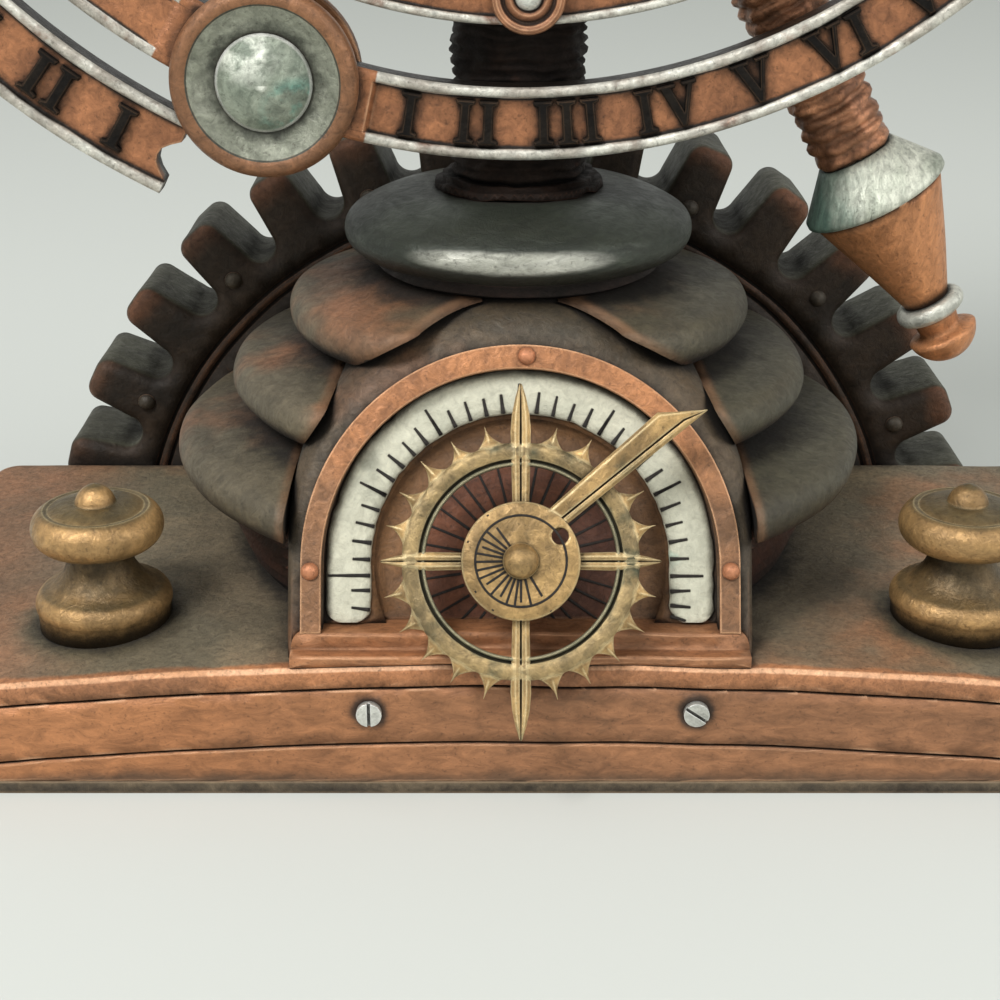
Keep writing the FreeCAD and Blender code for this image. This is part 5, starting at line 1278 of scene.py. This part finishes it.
def makeDial():
    # a horseshoe band with a wavering edge and rounded feet, from the right foot over the top to the left
    foot = dial["foot"]
    stations = [("right", foot + row, dialPinch(row)) for row in dial["legRows"]]
    stations += [("arc", degrees, 0.0) for degrees in range(0, 181, dial["arcStep"])]
    stations += [("left", foot + row, dialPinch(row)) for row in reversed(dial["legRows"])]
    face = [(0.0, dial["back"])] + dial["face"] + [(1.0, dial["back"])]
    sections = []
    for kind, value, pinch in stations:
        seed = -value if kind == "left" else value
        inner = dial["inner"] + pinch + abs(wobble(seed, 3.0, 50.0, 0.35, 0.35))
        outer = dial["outer"] - pinch - abs(wobble(seed, 9.0, 80.0, 0.3, 0.5))
        section = []
        for share, height in face:
            radius = inner + (outer - inner) * share
            if kind == "arc":
                angle = math.radians(value)
                x, y = radius * math.cos(angle), radius * math.sin(angle)
            else:
                x, y = (radius if kind == "right" else -radius), value
            section.append((x, y, height, 0.0, 0.0))
        sections.append(section)
    band = sweep("gauge_dial_band", sections, False, dialSilver, gaugeFrame, 50.0)
    return settle(band, bodyOf["gauge_dial"], "antique_silver", "gauge_dial")


def makeGaugeMarks():
    dialPlace = atHeight(gaugeFrame, dial["top"])
    # short ticks everywhere, long ones on every fifth
    short = ringOfCopies("shortTicks", inkBar("tickShort", ticks["short"], ticks["width"]), ticks["count"],
                         ticks["from"], ticks["first"], ticks["step"], lineInk, dialPlace, 2.0, 0.12, 5)
    long = ringOfCopies("longTicks", inkBar("tickLong", ticks["long"], ticks["width"]), ticks["longCount"],
                        ticks["from"], ticks["first"] + ticks["firstLong"] * ticks["step"],
                        ticks["longEvery"] * ticks["step"], lineInk, dialPlace, 1.0, 0.04, 9)
    things = [short, long]
    for side, rise, length, lean in ticks["legs"]:
        tick = inkBar("legTick", length, ticks["width"])
        turn = Matrix.Rotation(math.radians(lean if side > 0 else 180.0 - lean), 4, "Z")
        spot = Matrix.Translation((side * ticks["from"] * mm, rise * mm, 0.0))
        tick.data.transform(dialPlace @ spot @ turn)
        things.append(tick)
    settle(joined("gauge_ticks", things), bodyOf["gauge_dial"], "dark_hand")
    line = inkBar("floorLine", floorLines["to"] - floorLines["from"], floorLines["width"])
    count = int(360 / floorLines["step"]) + 1
    lines = ringOfCopies("gauge_floor_lines", line, count, floorLines["from"], floorLines["first"],
                         floorLines["step"], lineInk, atHeight(gaugeFrame, floorLines["height"]), 3.0, 0.1,
                         13)
    settle(lines, bodyOf["gauge_housing"], "dark_hand")


makeDial()
makeGaugeMarks()


# the spiked wheel: a band, a hub, four swords and thorns between them; a sword is (reach, width, place of
# its widest part), and the upright ones are the longer pair
wheel = {
    "back": 5.4, "top": 7.2, "inner": 12.9, "outer": 16.0, "bore": 1.55, "hubRadius": 5.0,
    "segments": 120, "swordRoot": 4.4, "swordRootWidth": 2.1, "levelSword": (18.9, 2.5, 12.4),
    "uprightSword": (24.0, 2.75, 17.6), "thorns": 24, "thornTip": 18.9, "thornSunk": 0.4,
    "thornRows": 6, "thornCurve": 2.3,
}
# the band's front, as (radius, depth below the wheel's top)
bandFront = [(wheel["outer"], 0.55), (15.75, 0.18), (15.2, 0.0), (14.3, 0.02), (13.8, 0.25), (13.6, 0.75),
             (13.45, 0.75), (13.35, 0.3), (13.12, 0.16), (wheel["inner"], 0.3)]


def swordBlade(degrees, reach, wideWidth, wideAt):
    # a pointed blade with a groove down its middle, along its own x
    root, rootWidth = wheel["swordRoot"], wheel["swordRootWidth"]
    low, high = wheel["back"], wheel["top"]
    taper = reach - wideAt
    stations = [(root, rootWidth), ((root + wideAt) / 2, (rootWidth + wideWidth) / 2), (wideAt, wideWidth),
                (wideAt + taper * 0.35, wideWidth * 0.86), (wideAt + taper * 0.7, wideWidth * 0.52),
                (reach - 0.25, wideWidth * 0.16), (reach, 0.1)]
    sections = []
    for along, width in stations:
        half = width / 2
        thin = min(1.0, width / 1.2)
        crest = low + (high - low) * (0.55 + 0.45 * thin)
        valley = crest - 0.55 * thin
        shoulder = crest - 0.35 * thin
        lip = crest - 0.12
        outline = [(-half, low), (-half, shoulder), (-half * 0.55, crest), (-half * 0.12, lip),
                   (0.0, valley), (half * 0.12, lip), (half * 0.55, crest), (half, shoulder), (half, low)]
        sections.append([(along, across, height, 0.0, 0.0) for across, height in outline])
    turn = Matrix.Rotation(math.radians(degrees), 4, "Z")
    return sweep("sword", sections, False, brass, gaugeFrame @ turn, 32.0)


def thornPattern():
    # a pointed thorn with hollow flanks, drawn from the wheel's band outwards along x
    sunk = wheel["thornSunk"]
    reach = wheel["thornTip"] - wheel["outer"] + sunk
    halfRoot = math.radians(180.0 / wheel["thorns"]) * wheel["outer"]
    low, high = wheel["back"] + 0.35, wheel["top"] - 0.25
    sections = []
    for k in range(wheel["thornRows"] + 1):
        share = k / wheel["thornRows"]
        along = reach * share - sunk
        half = halfRoot * (1.0 - share) ** wheel["thornCurve"] + 0.16 * (1.0 - share) + 0.03
        base = low + 0.35 * share
        crest = high - 0.3 * share
        flank = crest - 0.35
        outline = [(-half, base), (-half * 0.9, flank), (0.0, crest), (half * 0.9, flank), (half, base)]
        sections.append([(along, across, height, 0.0, 0.0) for across, height in outline])
    return sweep("thornPattern", sections, False, brass, None, 32.0)


def makeWheel():
    low, high = wheel["back"], wheel["top"]
    front = [(radius, high - fall, 0) for radius, fall in bandFront]
    band = lathe("wheelBand", [(wheel["inner"], low, 0), (wheel["outer"], low, 0)] + front, wheelBrass,
                 gaugeFrame, wheel["segments"], closed=True)
    bore, rim = wheel["bore"], wheel["hubRadius"]
    hub = lathe("wheelHub", [(bore, low, 0), (rim, low, 0), (rim, high, 0), (bore, high, 0)], brass,
                gaugeFrame, 64, closed=True)
    things = [band, hub]
    for k in range(4):
        kind = "uprightSword" if k % 2 else "levelSword"
        things.append(swordBlade(90.0 * k, *wheel[kind]))
    step = 360.0 / wheel["thorns"]
    for quarter in range(4):
        things.append(ringOfCopies("thorns", thornPattern(), wheel["thorns"] // 4 - 1, wheel["outer"],
                                   90.0 * quarter + step, step, brass, gaugeFrame, 2.5, 0.09, 31 + quarter))
    return settle(joined("spiked_wheel_cast", things), bodyOf["spiked_wheel"], "antique_brass",
                  "spiked_wheel")


makeWheel()


# the pointer: a disc with a low crown and a hole, and a blade with its tip cut at a slant
pointer = {
    "back": 7.4, "crownTop": 9.1, "crownFall": 0.12, "radius": 8.0, "rimFrom": 6.4, "rimFall": 0.42,
    "crownRows": [1.6, 3.0, 5.0, 6.4, 7.0, 7.6, 7.9], "segments": 128, "holeRadius": 1.15, "holeAt": 6.2,
    "holeDegrees": 32.5, "length": 32.1, "degrees": 38.9, "thickness": 1.3, "rootInside": 2.0,
    "rootWidth": 3.0, "endWidth": 4.0, "tipCut": 5.4, "tipWidth": 0.12, "rows": 8,
}
circleDepth = 0.3
# the disc's lines as (degrees, outer radius), and the circle that they meet
hubMarks = {
    "from": 2.5, "meet": 6.1, "circle": (5.94, 6.24), "width": 0.3, "proud": 0.04,
    "lines": [(126, 7.6), (139, 6.1), (150, 6.1), (160, 7.6), (170, 6.1), (181, 6.1), (192, 6.1), (203, 6.1),
              (214, 7.4), (228, 6.1), (240, 7.6), (251, 6.1), (262, 6.1), (270, 8.0), (283, 6.1),
              (301, 7.8)],
}


def hubHeight(radius):
    # height of the disc's low crown at a radius
    fromRim = max(0.0, (radius - pointer["rimFrom"]) / (pointer["radius"] - pointer["rimFrom"]))
    return (pointer["crownTop"] - pointer["crownFall"] * (radius / pointer["radius"])
            - pointer["rimFall"] * fromRim ** 2)


def makeHub():
    low, rim = pointer["back"], pointer["radius"]
    rows = pointer["crownRows"]
    crown = [(radius, hubHeight(radius), 0) for radius in rows]
    edge = [(rim, hubHeight(rows[-1]) - 0.25, 0), (rim, low, 0)]
    hub = lathe("pointerHub", [(rows[0], low, 0)] + crown + edge, brass, gaugeFrame, pointer["segments"],
                closed=True)
    angle = math.radians(pointer["holeDegrees"])
    spot = (pointer["holeAt"] * math.cos(angle), pointer["holeAt"] * math.sin(angle))
    bore = pointer["holeRadius"]
    drill = lathe("drill", [(0, 0, 0), (bore, 0, 0), (bore, 20, 0), (0, 20, 0)], brass, gaugeFrame, 40, spot)
    cut = hub.modifiers.new("hole", "BOOLEAN")
    cut.operation = "DIFFERENCE"
    cut.object = drill
    graph = bpy.context.evaluated_depsgraph_get()
    mesh = bpy.data.meshes.new_from_object(hub.evaluated_get(graph))
    hub.modifiers.clear()
    hub.data = mesh
    bpy.data.objects.remove(drill)
    return hub


def bladeWidth(along, root, tip):
    # wider towards the tip, and then cut off at a slant
    cutFrom = tip - pointer["tipCut"]
    if along > cutFrom:
        return max(pointer["tipWidth"], pointer["endWidth"] * (tip - along) / pointer["tipCut"])
    share = min(1.0, (along - root) / (cutFrom - root))
    return pointer["rootWidth"] + (pointer["endWidth"] - pointer["rootWidth"]) * share


def makeBlade():
    low = pointer["back"]
    top = low + pointer["thickness"]
    root, tip = pointer["radius"] - pointer["rootInside"], pointer["length"]
    places = [root + (tip - root) * k / pointer["rows"] for k in range(pointer["rows"] + 1)]
    places.append(tip - pointer["tipCut"])
    sections = []
    for along in sorted(places):
        width = bladeWidth(along, root, tip)
        thin = min(1.0, width / 1.6)
        groove = min(1.0, width * 0.4)
        outline = [(0.0, low), (0.0, top - 0.5 * thin), (groove * 0.5, top - 0.16 * thin),
                   (groove * 0.86, top - 0.2 * thin), (groove, top - 0.62 * thin),
                   (groove * 1.16, top - 0.12 * thin), (width * 0.88, top), (width, top - 0.35 * thin),
                   (width, low)]
        sections.append([(along, across, height, 0.0, 0.0) for across, height in outline])
    turn = Matrix.Rotation(math.radians(pointer["degrees"]), 4, "Z")
    return sweep("pointerBlade", sections, False, brass, gaugeFrame @ turn, 32.0)


def makePointer():
    return settle(joined("gauge_pointer_cast", [makeHub(), makeBlade()]), bodyOf["gauge_pointer"],
                  "antique_brass", "gauge_pointer")


def hubLine(fromRadius, toRadius, degrees):
    # a raised line that follows the crown
    half = hubMarks["width"] / 2
    sections = []
    for radius in (fromRadius, (fromRadius + toRadius) / 2, toRadius):
        top = hubHeight(radius) + hubMarks["proud"]
        low = top - 0.25
        sections.append([(radius, -half, low, 0, 0), (radius, -half, top, 0, 0), (radius, half, top, 0, 0),
                         (radius, half, low, 0, 0)])
    turn = Matrix.Rotation(math.radians(degrees), 4, "Z")
    return sweep("hubLine", sections, False, lineInk, gaugeFrame @ turn)


def inkCircle(name, inner, outer, top, place, segments):
    # a raised line all round the place's z
    low = top - circleDepth
    return lathe(name, [(inner, low, 0), (outer, low, 0), (outer, top, 0), (inner, top, 0)], lineInk, place,
                 segments, closed=True)


def makeHubLines():
    things = [hubLine(hubMarks["from"], reach, degrees) for degrees, reach in hubMarks["lines"]]
    top = hubHeight(hubMarks["meet"]) + hubMarks["proud"]
    things.append(inkCircle("hubCircle", *hubMarks["circle"], top, gaugeFrame, 96))
    return settle(joined("pointer_hub_lines", things), bodyOf["gauge_pointer"], "dark_hand")


makePointer()
makeHubLines()
print("gauge dressed")

# the clock head

clockFrame = facePlace((ringCentre.x, 0.0, ringCentre.z), frontY)
clock = {
    "dialTop": 4.0, "numberRadius": 30.0, "numberHeight": 5.4, "trackOut": 41.0, "trackIn": 38.4,
    "trackHalf": 0.12, "trackProud": 0.08, "minuteWidth": 0.3, "fiveWidth": 0.9,
}


def makeClockFace():
    top = clock["dialTop"]
    look = {"height": clock["numberHeight"], "stretch": 0.8, "letterGap": 0.08, "chamfer": 0.0,
            "low": top - 0.3, "high": top + 0.1, "baseRadius": clock["numberRadius"]}
    # twelve stands at the top, and numbers run clockwise with their tops outwards
    row = numeralRow("clockNumbers", [numbers[11]] + numbers[:11], look, 165.0, 525.0, False, lineInk,
                     clockFrame)
    marks = [row]
    length = clock["trackOut"] - clock["trackIn"]
    tickPlace = atHeight(clockFrame, top)
    for name, width, count in (("minute", clock["minuteWidth"], 60), ("five", clock["fiveWidth"], 12)):
        marks.append(ringOfCopies(name + "Ticks", inkBar(name + "Tick", length, width), count,
                                  clock["trackIn"], 90.0, 360.0 / count, lineInk, tickPlace))
    for radius in (clock["trackIn"], clock["trackOut"]):
        marks.append(inkCircle("track", radius - clock["trackHalf"], radius + clock["trackHalf"],
                               top + clock["trackProud"], clockFrame, 120))
    settle(joined("clock_marks", marks), bodyOf["clock_dial"], "dark_hand")


makeClockFace()


def makeGlass():
    material = bpy.data.materials.new("clockGlass")
    material.use_nodes = True
    tree = material.node_tree
    shader = tree.nodes["Principled BSDF"]
    shader.inputs["Base Color"].default_value = (0.95, 0.97, 0.97, 1.0)
    shader.inputs["Transmission Weight"].default_value = 1.0
    shader.inputs["IOR"].default_value = 1.5
    smear = noiseNode(tree, objectPlace(tree), 60.0, 4.0, 0.6)
    feed(tree, shader.inputs["Roughness"], mapRange(tree, smear, 0.4, 0.8, 0.02, 0.09))
    return material


paintNode("clock_glass", makeGlass())
print("clock head dressed")


# studio

studio = {
    "floorSize": 6.0, "floorColor": tint(208, 211, 206), "worldColor": (0.98, 1.0, 0.97, 1.0),
    "worldLight": 0.56,
    "keyAt": (-0.5, -0.6, 0.95), "keySize": 0.4, "keyPower": 10.5,
    "fillAt": (0.75, -0.35, 0.55), "fillSize": 0.5, "fillPower": 3.0,
}


def plainSurface(name, color, roughness=0.9):
    material = bpy.data.materials.new(name)
    material.use_nodes = True
    shader = material.node_tree.nodes["Principled BSDF"]
    shader.inputs["Base Color"].default_value = color
    shader.inputs["Roughness"].default_value = roughness
    shader.inputs["Specular IOR Level"].default_value = 0.1
    return material


def areaLamp(name, at, size, power, target=(0.0, 0.0, 0.08)):
    lamp = bpy.data.lights.new(name, "AREA")
    lamp.shape = "SQUARE"
    lamp.size = size
    lamp.energy = power
    thing = bpy.data.objects.new(name, lamp)
    thing.location = at
    thing.rotation_euler = (Vector(target) - Vector(at)).to_track_quat("-Z", "Y").to_euler()
    bpy.context.scene.collection.objects.link(thing)


def makeStudio():
    half = studio["floorSize"] / 2
    mesh = bpy.data.meshes.new("floor")
    corners = [(-half, -half, 0), (half, -half, 0), (half, half, 0), (-half, half, 0)]
    mesh.from_pydata(corners, [], [(0, 1, 2, 3)])
    floor = bpy.data.objects.new("floor", mesh)
    bpy.context.scene.collection.objects.link(floor)
    mesh.materials.append(plainSurface("paleFloor", studio["floorColor"]))
    world = bpy.data.worlds.new("softRoom")
    bpy.context.scene.world = world
    world.use_nodes = True
    background = world.node_tree.nodes["Background"]
    background.inputs["Color"].default_value = studio["worldColor"]
    background.inputs["Strength"].default_value = studio["worldLight"]
    areaLamp("keyLamp", studio["keyAt"], studio["keySize"], studio["keyPower"])
    areaLamp("fillLamp", studio["fillAt"], studio["fillSize"], studio["fillPower"])


cameraView = {"at": (-2.79, -265.81, 134.36), "pitchDown": 22.42, "lens": 64.8, "sensor": 36.0}


def makeCamera():
    data = bpy.data.cameras.new("photoCamera")
    data.lens = cameraView["lens"]
    data.sensor_width = cameraView["sensor"]
    data.clip_start = 0.01
    data.clip_end = 20.0
    camera = bpy.data.objects.new("photoCamera", data)
    camera.location = Vector(cameraView["at"]) * mm
    camera.rotation_euler = (math.radians(90.0 - cameraView["pitchDown"]), 0, 0)
    bpy.context.scene.collection.objects.link(camera)
    bpy.context.scene.camera = camera


makeStudio()
makeCamera()
bpy.context.scene.view_settings.view_transform = "Standard"
print("studio and camera set")
